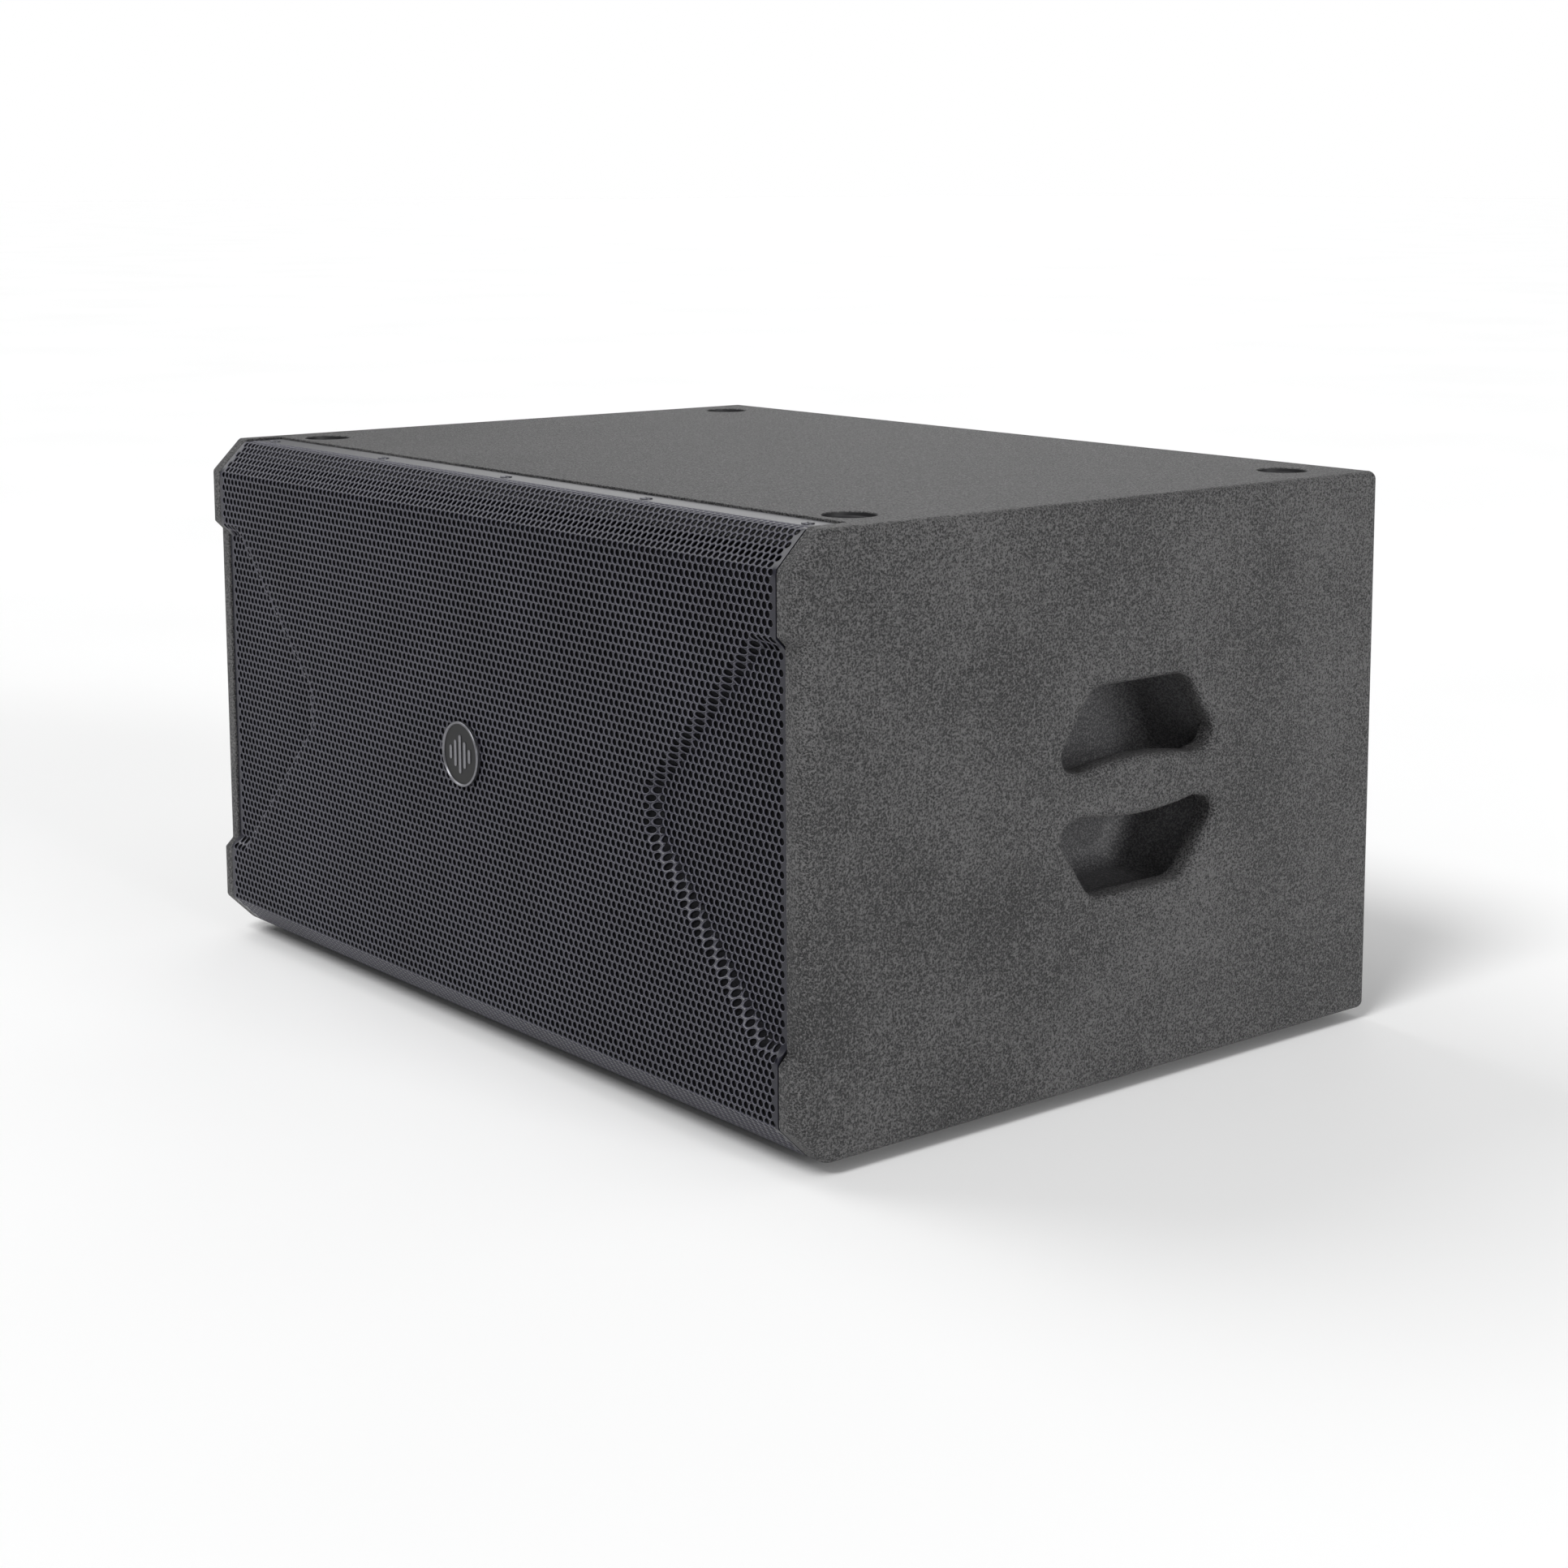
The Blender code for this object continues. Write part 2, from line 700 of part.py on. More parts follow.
def dust_cap_profile():
    """A shallow dome whose rim stands on the cone."""
    rim, height, base, thickness = 0.0500, 0.0130, -0.0395, 0.0012
    steps = 4
    sphere = (rim * rim + height * height) / (2 * height)
    sweep = asin(rim / sphere)
    outer = []
    inner = []
    for i in range(steps + 1):
        angle = sweep * i / steps
        drop = base + height - sphere
        outer.append((sphere * sin(angle), drop + sphere * cos(angle)))
        shrunk = sphere - thickness
        inner.append((shrunk * sin(angle), drop + shrunk * cos(angle)))
    return outer + inner[::-1]


def make_driver(side_name, x):
    """All the pieces of one driver, each turned about the driver's axis."""
    centre = (x, BAFFLE_FRONT, MID_Z)

    def piece(name, profile, finish_name, closed=True):
        obj = turned(profile, centre, "FRONT", ROUND, closed)
        return finish(smooth(obj), f"{name}_{side_name}", finish_name)

    basket = piece("basket", BASKET, "black_steel")
    for i in range(3):
        low = (-0.140, -0.022, -0.062)
        high = (0.140, 0.022, -0.030)
        window = block(low, high)
        window.matrix_world = (
            Matrix.Translation(centre)
            @ Matrix.Rotation(pi / 2, 4, "X")
            @ Matrix.Rotation(i * pi / 3, 4, "Z")
            @ Matrix.Translation([(a + b) / 2 for a, b in zip(low, high)])
        )
        cut(basket, as_cutter(window, f"basket_window_{side_name}_{i}"))
    piece("top_plate", TOP_PLATE, "zinc_steel")
    piece("magnet", MAGNET, "ferrite")
    piece("back_plate", BACK_PLATE, "zinc_steel", closed=False)
    piece("voice_coil", VOICE_COIL, "copper")
    piece("spider", spider_profile(), "spider_cloth")
    piece("cone", CONE, "paper")
    piece("dust_cap", dust_cap_profile(), "paper", False)
    piece("surround", surround_profile(), "black_cloth")


# Rear controls: X is seen from the front, so the rear view mirrors it
LEFT_COLUMN_X = 0.048
RIGHT_COLUMN_X = 0.112
INPUT_Z = MID_Z + 0.085
OUTPUT_Z = MID_Z + 0.044
KNOB_Z = MID_Z + 0.000
BUTTON_Z = MID_Z - 0.040
POWER_Z = MID_Z - 0.085
XLR_BODY_R = 0.0118
INLET_W, INLET_H = 0.0272, 0.0200
ROCKER_W, ROCKER_H = 0.0140, 0.0220


def make_amp_plate():
    face = AMP_FACE
    plate = block(
        (-AMP_W / 2, face - AMP_T, MID_Z - AMP_H / 2), (AMP_W / 2, face, MID_Z + AMP_H / 2)
    )
    holes = []
    for x in (LEFT_COLUMN_X, RIGHT_COLUMN_X):
        for z in (INPUT_Z, OUTPUT_Z):
            holes.append(rod(XLR_BODY_R + 2 * GAP, face - 0.01, face + 0.01, x, z, 20))
        holes.append(rod(0.0035, face - 0.01, face + 0.01, x, KNOB_Z, 12))
    holes.append(rod(0.0043, face - 0.01, face + 0.01, LEFT_COLUMN_X, BUTTON_Z, 16))
    for x, width, height in (
        (LEFT_COLUMN_X, ROCKER_W, ROCKER_H),
        (RIGHT_COLUMN_X, INLET_W, INLET_H),
    ):
        half_w = width / 2 + GAP
        half_h = height / 2 + GAP
        holes.append(
            block((x - half_w, face - 0.01, POWER_Z - half_h), (x + half_w, face + 0.01, POWER_Z + half_h))
        )
    for i, hole in enumerate(holes):
        cut(plate, as_cutter(hole, f"amp_plate_hole_{i}"))
    return finish(plate, "amp_plate", "aluminium")


def make_heatsink():
    """A comb of upright fins on a common base."""
    left, right = -0.146, 0.002
    fins, fin_t = 12, 0.0025
    base, tip = AMP_FACE + GAP, BACK - 0.003
    pitch = (right - left - fin_t) / (fins - 1)
    outline = [(left, base), (right, base)]
    for i in reversed(range(fins)):
        x = left + i * pitch
        outline += [(x + fin_t, tip), (x, tip)] if i == fins - 1 else []
        if i < fins - 1:
            outline += [(x + pitch, base + 0.004), (x + fin_t, base + 0.004), (x + fin_t, tip), (x, tip)]
    comb = slab([outline], 0.196, (0, 0, MID_Z), LEVEL)
    return finish(comb, "heatsink", "aluminium")


def make_amp_board():
    """The circuit board with its largest components, joined into one piece."""
    face = REAR_OUTER - REAR_T - 0.022
    board = block((-0.130, face - 0.0016, MID_Z - 0.095), (0.130, face, MID_Z + 0.095))
    components = [
        block((-0.100, face - 0.040, MID_Z - 0.070), (-0.040, face - 0.001, MID_Z - 0.010)),
        block((-0.020, face - 0.030, MID_Z - 0.060), (0.020, face - 0.001, MID_Z + 0.050)),
        rod(0.016, face - 0.042, face - 0.001, 0.070, MID_Z + 0.040, 16),
        rod(0.016, face - 0.042, face - 0.001, 0.070, MID_Z - 0.010, 16),
        block((-0.105, face - 0.020, MID_Z + 0.020), (-0.055, face - 0.001, MID_Z + 0.075)),
    ]
    for i, component in enumerate(components):
        cut(board, as_cutter(component, f"board_component_{i}"), "UNION")
    return finish(board, "amp_board", "board_green")


def make_knob(name, x):
    """A round knob with a flat pointer line, on a shaft that runs through the plate."""
    face = AMP_FACE
    profile = [
        (0.0, 0.0140),
        (0.0062, 0.0140),
        (0.0070, 0.0130),
        (0.0078, 0.0020),
        (0.0090, 0.0008),
        (0.0030, 0.0008),
        (0.0030, -0.0120),
        (0.0, -0.0120),
    ]
    knob = turned(profile, (x, face, KNOB_Z), "REAR", 24, closed=False)
    groove = block((x - 0.0006, face + 0.0125, KNOB_Z + 0.001), (x + 0.0006, face + 0.0160, KNOB_Z + 0.0085))
    cut(knob, as_cutter(groove, name + "_pointer"))
    return finish(smooth(knob), name, "black_plastic")


def make_button():
    face = AMP_FACE
    profile = [(0.0, 0.0050), (0.0034, 0.0050), (0.0040, 0.0042), (0.0040, -0.0080), (0.0, -0.0080)]
    button = turned(profile, (LEFT_COLUMN_X, face, BUTTON_Z), "REAR", 16, closed=False)
    return finish(smooth(button), "polarity_button", "black_plastic")


ROCKER_TILT = radians(10)


def make_rocker():
    """The power rocker at rest in its off position, turning about X behind the plate's face."""
    half = ROCKER_H / 2 - 0.0016
    outline = [
        (-0.0060, -half),
        (-0.0060, half),
        (0.0010, half),
        (0.0034, half * 0.9),
        (0.0018, 0.0),
        (0.0034, -half * 0.9),
        (0.0010, -half),
    ]
    pivot = (LEFT_COLUMN_X, AMP_FACE - 0.0010, POWER_Z)
    rocker = slab([outline], ROCKER_W - 0.0012, (0, 0, 0), SIDEWAYS)
    turn = Matrix.Rotation(ROCKER_TILT, 4, "X")
    rocker.data.transform(turn @ rocker.matrix_world)
    rocker.matrix_world = Matrix.Translation(pivot)
    return finish(rocker, "power_rocker", "black_plastic")


def make_mains_inlet():
    """A recessed three-pin appliance inlet."""
    x, z, face = RIGHT_COLUMN_X, POWER_Z, AMP_FACE
    body = block((x - INLET_W / 2, face - 0.022, z - INLET_H / 2), (x + INLET_W / 2, face + 0.001, z + INLET_H / 2))
    flange = block((x - 0.0240, face + GAP, z - 0.0130), (x + 0.0240, face + 0.0028, z + 0.0130))
    cut(body, as_cutter(flange, "inlet_flange"), "UNION")
    well = block((x - 0.0118, face - 0.0165, z - 0.0080), (x + 0.0118, face + 0.01, z + 0.0080))
    cut(body, as_cutter(well, "inlet_well"))
    for i, (dx, dz) in enumerate(((-0.007, -0.002), (0.007, -0.002), (0.0, 0.002))):
        pin = block(
            (x + dx - 0.0010, face - 0.0180, z + dz - 0.0020), (x + dx + 0.0010, face - 0.0015, z + dz + 0.0020)
        )
        cut(body, as_cutter(pin, f"inlet_pin_{i}"), "UNION")
    return finish(body, "mains_inlet", "black_plastic")


def make_xlr(name, x, z, is_input):
    """A panel connector: a square flange, a round body and either contact holes or three pins."""
    face = AMP_FACE
    body = rod(XLR_BODY_R, face - 0.020, face + 0.001, x, z, 20)
    flange = block((x - 0.013, face + GAP, z - 0.0155), (x + 0.013, face + 0.0023, z + 0.0155))
    cut(body, as_cutter(flange, name + "_flange"), "UNION")
    well = rod(0.0098, face - 0.014, face + 0.01, x, z, 20)
    cut(body, as_cutter(well, name + "_well"))
    if is_input:
        insert = rod(0.0072, face - 0.0150, face - 0.0010, x, z, 16)
        cut(body, as_cutter(insert, name + "_insert"), "UNION")
        notch = block((x - 0.0050, face - 0.0005, z + 0.0098), (x + 0.0050, face + 0.01, z + 0.0135))
        cut(body, as_cutter(notch, name + "_tab_slot"))
    for i, (dx, dz) in enumerate(((-0.0044, -0.0005), (0.0044, -0.0005), (0.0, -0.0044))):
        if is_input:
            hole = rod(0.0014, face - 0.0120, face + 0.01, x + dx, z + dz, 8)
            cut(body, as_cutter(hole, f"{name}_contact_{i}"))
        else:
            pin = rod(0.0012, face - 0.0150, face - 0.0030, x + dx, z + dz, 8)
            cut(body, as_cutter(pin, f"{name}_pin_{i}"), "UNION")
    return finish(smooth(body), name, "black_plastic")


def make_latch_tab(name, x):
    """The push tab above an input connector that lets a plug go."""
    face = AMP_FACE
    tab = block((x - 0.0046, face + 0.0018, INPUT_Z + 0.0102), (x + 0.0046, face + 0.0045, INPUT_Z + 0.0131))
    bevel(tab, 0.0004, 1)
    return finish(tab, name, "nickel")


def build():
    for side, name in ((-1, "left"), (1, "right")):
        make_side_panel("side_panel_" + name, side)
        make_handle_cup("handle_cup_" + name, side)
        make_driver(name, side * DRIVER_X)
    make_top_panel()
    make_bottom_panel()
    make_rear_panel()
    make_baffle()
    make_brace()
    make_port("port_upper", MID_Z + PORT_Z)
    make_port("port_lower", MID_Z - PORT_Z)
    make_grille()
    folded_sheet("grille_foam", SHEET_T + GAP, FOAM_T, None, 0.018, "foam")
    make_badge()
    for i, x in enumerate(SCREW_X):
        make_grille_screw(f"grille_screw_top_{i + 1}", x, TOP - FLANGE_DROP, True)
        make_grille_screw(f"grille_screw_bottom_{i + 1}", x, BASE + FLANGE_DROP, False)
    for x, side in ((-FOOT_X, "left"), (FOOT_X, "right")):
        make_foot("foot_front_" + side, x, FOOT_Y_FRONT)
        make_foot("foot_rear_" + side, x, FOOT_Y_BACK)
    make_amp_plate()
    make_heatsink()
    make_amp_board()
    make_knob("level_knob", LEFT_COLUMN_X)
    make_knob("crossover_knob", RIGHT_COLUMN_X)
    make_button()
    make_rocker()
    make_mains_inlet()
    for x, side in ((LEFT_COLUMN_X, "a"), (RIGHT_COLUMN_X, "b")):
        make_xlr("xlr_input_" + side, x, INPUT_Z, True)
        make_xlr("xlr_output_" + side, x, OUTPUT_Z, False)
        make_latch_tab("latch_tab_" + side, x)


build()
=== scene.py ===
"""Visual model of the powered subwoofer cabinet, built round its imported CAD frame.

Metres, +Z up, +X to the right of somebody who looks at the grille, front towards -Y, feet at Z = 0.
"""

from math import ceil, cos, pi, radians, sin, tan

import bmesh
import bpy
import numpy as np
from mathutils import Matrix, Vector, noise
from mathutils.geometry import tessellate_polygon


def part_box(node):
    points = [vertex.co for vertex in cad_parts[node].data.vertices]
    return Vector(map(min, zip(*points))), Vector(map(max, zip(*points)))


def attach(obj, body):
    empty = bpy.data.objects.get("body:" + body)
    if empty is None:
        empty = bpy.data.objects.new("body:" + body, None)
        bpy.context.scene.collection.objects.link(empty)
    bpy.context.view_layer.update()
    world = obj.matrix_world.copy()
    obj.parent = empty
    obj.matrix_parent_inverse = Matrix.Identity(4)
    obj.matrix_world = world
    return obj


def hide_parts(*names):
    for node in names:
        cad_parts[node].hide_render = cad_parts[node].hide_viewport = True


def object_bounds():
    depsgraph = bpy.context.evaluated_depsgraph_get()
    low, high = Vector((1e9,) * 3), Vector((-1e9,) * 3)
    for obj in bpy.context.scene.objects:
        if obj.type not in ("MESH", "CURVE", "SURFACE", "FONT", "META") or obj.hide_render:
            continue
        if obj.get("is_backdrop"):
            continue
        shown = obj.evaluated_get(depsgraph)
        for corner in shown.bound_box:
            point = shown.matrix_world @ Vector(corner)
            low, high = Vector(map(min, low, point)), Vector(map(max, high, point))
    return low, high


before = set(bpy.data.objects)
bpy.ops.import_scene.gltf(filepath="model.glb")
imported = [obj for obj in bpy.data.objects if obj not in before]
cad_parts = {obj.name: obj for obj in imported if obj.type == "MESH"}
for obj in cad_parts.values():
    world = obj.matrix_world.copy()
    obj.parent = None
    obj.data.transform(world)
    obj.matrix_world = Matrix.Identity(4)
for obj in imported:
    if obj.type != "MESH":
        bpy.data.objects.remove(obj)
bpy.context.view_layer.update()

# Places on the cabinet, read from the CAD
side_low, side_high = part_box("side_panel_right")
top_low, top_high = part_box("top_panel")
sheet_low, sheet_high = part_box("grille")
FRONT = side_low.y
BACK = side_high.y
BASE = side_low.z
TOP = side_high.z
OUTER_X = side_high.x
INNER_X = side_low.x
SHEET_X = sheet_high.x
MID_Z = (BASE + TOP) / 2
HEIGHT = TOP - BASE
DEPTH = BACK - FRONT
PANEL_T = TOP - top_low.z
FLANGE_END = sheet_high.y
FLANGE_DROP = TOP - sheet_high.z
CHAMFER = 0.0245
BEND = 0.0045

# The stepped front edge of the side panels and the wings pressed into the grille
NOTCH = 0.0065
NOTCH_LOW = BASE + 0.18 * HEIGHT
NOTCH_HIGH = BASE + 0.82 * HEIGHT
WING_SINK = NOTCH + 0.0015
WING_LOW = NOTCH_LOW - 0.0040
WING_HIGH = NOTCH_HIGH + 0.0050
WING_STEP_W = 0.0078
WING_BEND = 0.12
WING_NOSE_X = 0.219
WING_NOSE_Z = MID_Z + 0.0025
WING_NOSE_HALF = 0.0170

# Hand holes
HANDLE_Y = FRONT + 0.554 * DEPTH
HANDLE_Z = BASE + 0.508 * HEIGHT
HANDLE_HALF_W = 0.0785
HANDLE_HALF_TOP = 0.044
HANDLE_HALF_H = 0.071
GRIP_HALF_H = 0.0150
GRIP_BULGE = 0.0050
SLOT_FILLET = 0.0050
SLOT_END = 0.0255
SLOT_SHOULDER = 0.0055
SLOT_GRIP_R = 0.0040
SLOT_SHOULDER_R = 0.0105
SLOT_FAR_R = 0.0190

# Matrices that turn a piece's own Z to face a way, with its own Y up where it stands upright
UP = Matrix.Identity(4)
DOWN = Matrix.Rotation(pi, 4, "X")
TO_FRONT = Matrix.Rotation(pi / 2, 4, "X")
TO_REAR = Matrix(((-1, 0, 0, 0), (0, 0, 1, 0), (0, 1, 0, 0), (0, 0, 0, 1)))

# Shading is smooth across edges up to this many degrees
SMOOTH_ANGLE = 32
SMOOTH_SHEET = 65
SMOOTH_FOAM = 50

# Distances for cleaning a mesh, degrees for flat and for rounded edges, and limits for outlines
WELD = 0.000002
SLIVER = 0.000001
CAD_WELD = 0.00002
FLAT_ANGLE = 1.5
EDGE_ANGLE = 35
LEAST_MITRE = 0.35
LEAST_RADIUS = 0.0008
MOST_ROUNDED = 0.4


# ---------------------------------------------------------------- mesh tools


def quarter(steps, first=0):
    """A rounding's quarter turn, as shares of its radius: how far in, and how far yet to rise."""
    angles = [pi / 2 * k / steps for k in range(first, steps + 1)]
    return [(1 - cos(angle), 1 - sin(angle)) for angle in angles]


class Maker:
    """Collects points and faces in one place, then turns them into a piece."""

    def __init__(self, at=UP):
        self.at = at
        self.points = []
        self.faces = []
        self.slots = []

    def loop(self, points):
        start = len(self.points)
        self.points += [self.at @ Vector(p) for p in points]
        return list(range(start, len(self.points)))

    def skin(self, loops, slot=0, closed=True):
        """Quads between each loop and the next."""
        for a, b in zip(loops, loops[1:]):
            count = len(a)
            for i in range(count if closed else count - 1):
                j = (i + 1) % count
                self.faces.append((a[i], a[j], b[j], b[i]))
                self.slots.append(slot)

    def cap(self, outlines, slot=0):
        """A flat face with holes, from one outer loop and any inner ones."""
        flat = [[self.points[i] for i in outline] for outline in outlines]
        order = [i for outline in outlines for i in outline]
        for triangle in tessellate_polygon(flat):
            self.faces.append(tuple(order[i] for i in triangle))
            self.slots.append(slot)

    def lathe(self, profile, steps=48):
        """A turned solid from (radius, height) or (radius, height, slot) points."""
        loops = []
        slots = []
        for point in profile:
            radius, height = point[:2]
            slots.append(point[2] if len(point) > 2 else 0)
            if radius == 0:
                loops.append(self.loop([(0, 0, height)]) * steps)
            else:
                loops.append(self.loop((a, b, height) for a, b in circle(radius, steps)))
        for a, b, s in zip(loops, loops[1:], slots[1:]):
            self.skin([a, b], s)

    def prism(self, outline, low, high, round_off=0.0, slot=0, steps=3):
        """An upright slab from an outline, with its top edge rounded off."""
        loops = [self.loop((a, b, low) for a, b in outline)]
        for inset, rise in quarter(steps) if round_off else [(0, 0)]:
            smaller = grown(outline, -round_off * inset)
            loops.append(self.loop((a, b, high - round_off * rise) for a, b in smaller))
        self.skin(loops, slot)
        self.cap([loops[0]], slot)
        self.cap([loops[-1]], slot)

    def make(self, name, body, materials, angle=SMOOTH_ANGLE, weighted=True):
        """Joins what was collected into one clean piece."""
        mesh = bpy.data.meshes.new(name)
        shape = bmesh.new()
        verts = [shape.verts.new(p) for p in self.points]
        for corners, index in zip(self.faces, self.slots):
            kept = list(dict.fromkeys(corners))
            if len(kept) < 3:
                continue
            try:
                face = shape.faces.new([verts[i] for i in kept])
            except ValueError:
                continue
            face.material_index = index
        bmesh.ops.remove_doubles(shape, verts=shape.verts, dist=WELD)
        bmesh.ops.dissolve_degenerate(shape, edges=shape.edges, dist=SLIVER)
        bmesh.ops.recalc_face_normals(shape, faces=shape.faces)
        shape.to_mesh(mesh)
        shape.free()
        return finish_piece(mesh, name, body, materials, angle, weighted)


def finish_piece(mesh, name, body, materials, angle=SMOOTH_ANGLE, weighted=True):
    """Links a mesh as a piece of the object, shaded smooth up to an angle."""
    for material in materials:
        mesh.materials.append(material)
    obj = bpy.data.objects.new(name, mesh)
    bpy.context.scene.collection.objects.link(obj)
    mesh.shade_smooth()
    mesh.set_sharp_from_angle(angle=radians(angle))
    if weighted:
        even = obj.modifiers.new("even_shading", "WEIGHTED_NORMAL")
        even.keep_sharp = True
        even.weight = 90
    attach(obj, body)
    return obj


def grown(outline, amount):
    """A closed outline of (a, b) points moved outwards along its corners' mitres."""
    if amount == 0:
        return list(outline)
    area = sum(p[0] * q[1] - q[0] * p[1] for p, q in zip(outline, outline[1:] + outline[:1]))
    turn = 1 if area > 0 else -1
    moved = []
    for i, point in enumerate(outline):
        before, after = Vector(outline[i - 1]), Vector(outline[(i + 1) % len(outline)])
        into = (Vector(point) - before).normalized()
        out = (after - Vector(point)).normalized()
        n1 = Vector((into.y, -into.x)) * turn
        n2 = Vector((out.y, -out.x)) * turn
        mitre = (n1 + n2) / max(LEAST_MITRE, 1 + n1.dot(n2))
        moved.append((point[0] + mitre.x * amount, point[1] + mitre.y * amount))
    return moved


def corner_arc(before, corner, after, radius, steps):
    """Points of the arc that rounds one corner of an outline."""
    corner = Vector(corner)
    to_before = (Vector(before) - corner).normalized()
    to_after = (Vector(after) - corner).normalized()
    half = to_before.angle(to_after) / 2
    centre = corner + (to_before + to_after).normalized() * (radius / sin(half))
    start = corner + to_before * (radius / tan(half)) - centre
    end = corner + to_after * (radius / tan(half)) - centre
    turn = -start.angle_signed(end)
    points = []
    for i in range(steps + 1):
        angle = turn * i / steps
        across = start.x * cos(angle) - start.y * sin(angle)
        up = start.x * sin(angle) + start.y * cos(angle)
        points.append((centre.x + across, centre.y + up))
    return points


def rounded(corners, steps=5):
    """An outline from (a, b, radius) corners."""
    outline = []
    for i, (a, b, radius) in enumerate(corners):
        before, after = corners[i - 1][:2], corners[(i + 1) % len(corners)][:2]
        outline += corner_arc(before, (a, b), after, radius, steps) if radius else [(a, b)]
    return outline


def rectangle(half_a, half_b, radius, steps, centre):
    """A rectangle's outline with rounded corners."""
    corners = [
        (centre[0] - half_a, centre[1] - half_b, radius),
        (centre[0] + half_a, centre[1] - half_b, radius),
        (centre[0] + half_a, centre[1] + half_b, radius),
        (centre[0] - half_a, centre[1] + half_b, radius),
    ]
    return rounded(corners, steps)


def circle(radius, steps, centre=(0, 0)):
    angles = [2 * pi * i / steps for i in range(steps)]
    return [(centre[0] + radius * cos(a), centre[1] + radius * sin(a)) for a in angles]


def softened(node, name, body, material, width):
    """A copy of a CAD node with its edges rounded, which then stands for it."""
    mesh = bpy.data.meshes.new(name)
    shape = bmesh.new()
    shape.from_mesh(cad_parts[node].data)
    bmesh.ops.remove_doubles(shape, verts=shape.verts, dist=CAD_WELD)
    bmesh.ops.dissolve_limit(
        shape, angle_limit=radians(FLAT_ANGLE), verts=shape.verts, edges=shape.edges
    )
    shape.to_mesh(mesh)
    shape.free()
    mesh.materials.clear()
    obj = finish_piece(mesh, name, body, [material], weighted=False)
    edges = obj.modifiers.new("edges", "BEVEL")
    edges.width = width
    edges.segments = 2
    edges.limit_method = "ANGLE"
    edges.angle_limit = radians(EDGE_ANGLE)
    edges.harden_normals = True
    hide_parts(node)
    return obj


# ---------------------------------------------------------------- materials

# The middle part of a noise's values
NOISE_LOW = 0.3
NOISE_HIGH = 0.7


class Recipe:
    """A node material with object coordinates, built a node at a time."""

    def __init__(self, name, metallic=0.0, specular=0.5):
        self.material = bpy.data.materials.new(name)
        self.material.use_nodes = True
        self.tree = self.material.node_tree
        self.shader = self.tree.nodes["Principled BSDF"]
        self.shader.inputs["Metallic"].default_value = metallic
        self.shader.inputs["Specular IOR Level"].default_value = specular
        self.place = self.node("ShaderNodeTexCoord").outputs["Object"]

    def node(self, kind, **values):
        made = self.tree.nodes.new(kind)
        for key, value in values.items():
            setattr(made, key, value)
        return made

    def link(self, source, target):
        self.tree.links.new(source, target)

    def stretched(self, scale):
        mapping = self.node("ShaderNodeMapping")
        mapping.inputs["Scale"].default_value = scale
        self.link(self.place, mapping.inputs["Vector"])
        return mapping.outputs["Vector"]

    def noise(self, scale, detail=3.0, rough=0.55, place=None):
        made = self.node("ShaderNodeTexNoise")
        made.inputs["Scale"].default_value = scale
        made.inputs["Detail"].default_value = detail
        made.inputs["Roughness"].default_value = rough
        self.link(place or self.place, made.inputs["Vector"])
        return made.outputs["Fac"]

    def cells(self, scale, feature):
        made = self.node("ShaderNodeTexVoronoi", feature=feature)
        made.inputs["Scale"].default_value = scale
        self.link(self.place, made.inputs["Vector"])
        return made.outputs["Distance"]

    def bands(self, scale, direction, distortion=0.0):
        made = self.node("ShaderNodeTexWave", wave_type="BANDS", bands_direction=direction)
        made.inputs["Scale"].default_value = scale
        made.inputs["Distortion"].default_value = distortion
        self.link(self.place, made.inputs["Vector"])
        return made.outputs["Fac"]

    def mix(self, a, b, factor=0.5):
        """Blends two values."""
        made = self.node("ShaderNodeMix", data_type="FLOAT")
        made.inputs[0].default_value = factor
        self.link(a, made.inputs[2])
        self.link(b, made.inputs[3])
        return made.outputs[0]

    def product(self, a, b):
        made = self.node("ShaderNodeMath", operation="MULTIPLY")
        self.link(a, made.inputs[0])
        self.link(b, made.inputs[1])
        return made.outputs[0]

    def colour(self, source, stops):
        """The base colour, from two (value, colour) stops."""
        ramp = self.node("ShaderNodeValToRGB")
        for element, (place, shade) in zip(ramp.color_ramp.elements, stops):
            element.position = place
            element.color = (*shade, 1.0)
        self.link(source, ramp.inputs["Fac"])
        self.link(ramp.outputs["Color"], self.shader.inputs["Base Color"])

    def rough(self, source, low, high):
        """The roughness, over the middle part of a noise's range."""
        made = self.node("ShaderNodeMapRange")
        made.inputs["From Min"].default_value = NOISE_LOW
        made.inputs["From Max"].default_value = NOISE_HIGH
        made.inputs["To Min"].default_value = low
        made.inputs["To Max"].default_value = high
        self.link(source, made.inputs["Value"])
        self.link(made.outputs["Result"], self.shader.inputs["Roughness"])

    def bump(self, source, distance, below=None):
        """A raised surface, on top of another bump where one is given."""
        made = self.node("ShaderNodeBump")
        made.inputs["Distance"].default_value = distance
        self.link(source, made.inputs["Height"])
        if below:
            self.link(below, made.inputs["Normal"])
        self.link(made.outputs["Normal"], self.shader.inputs["Normal"])
        return made.outputs["Normal"]


def simple(
    name, dark, light, scale, rough, bump=0.00005, metallic=0.0, stretch=None, specular=0.5
):
    """A finish with fine grain in its colour, gloss and surface."""
    recipe = Recipe(name, metallic, specular)
    place = recipe.stretched(stretch) if stretch else recipe.place
    grain = recipe.noise(scale, 4.0, 0.6, place)
    broad = recipe.noise(14.0, 2.0, 0.5)
    both = recipe.mix(grain, broad, 0.35)
    recipe.colour(both, [(0.32, dark), (0.68, light)])
    recipe.rough(both, rough[0], rough[1])
    recipe.bump(grain, bump)
    return recipe.material


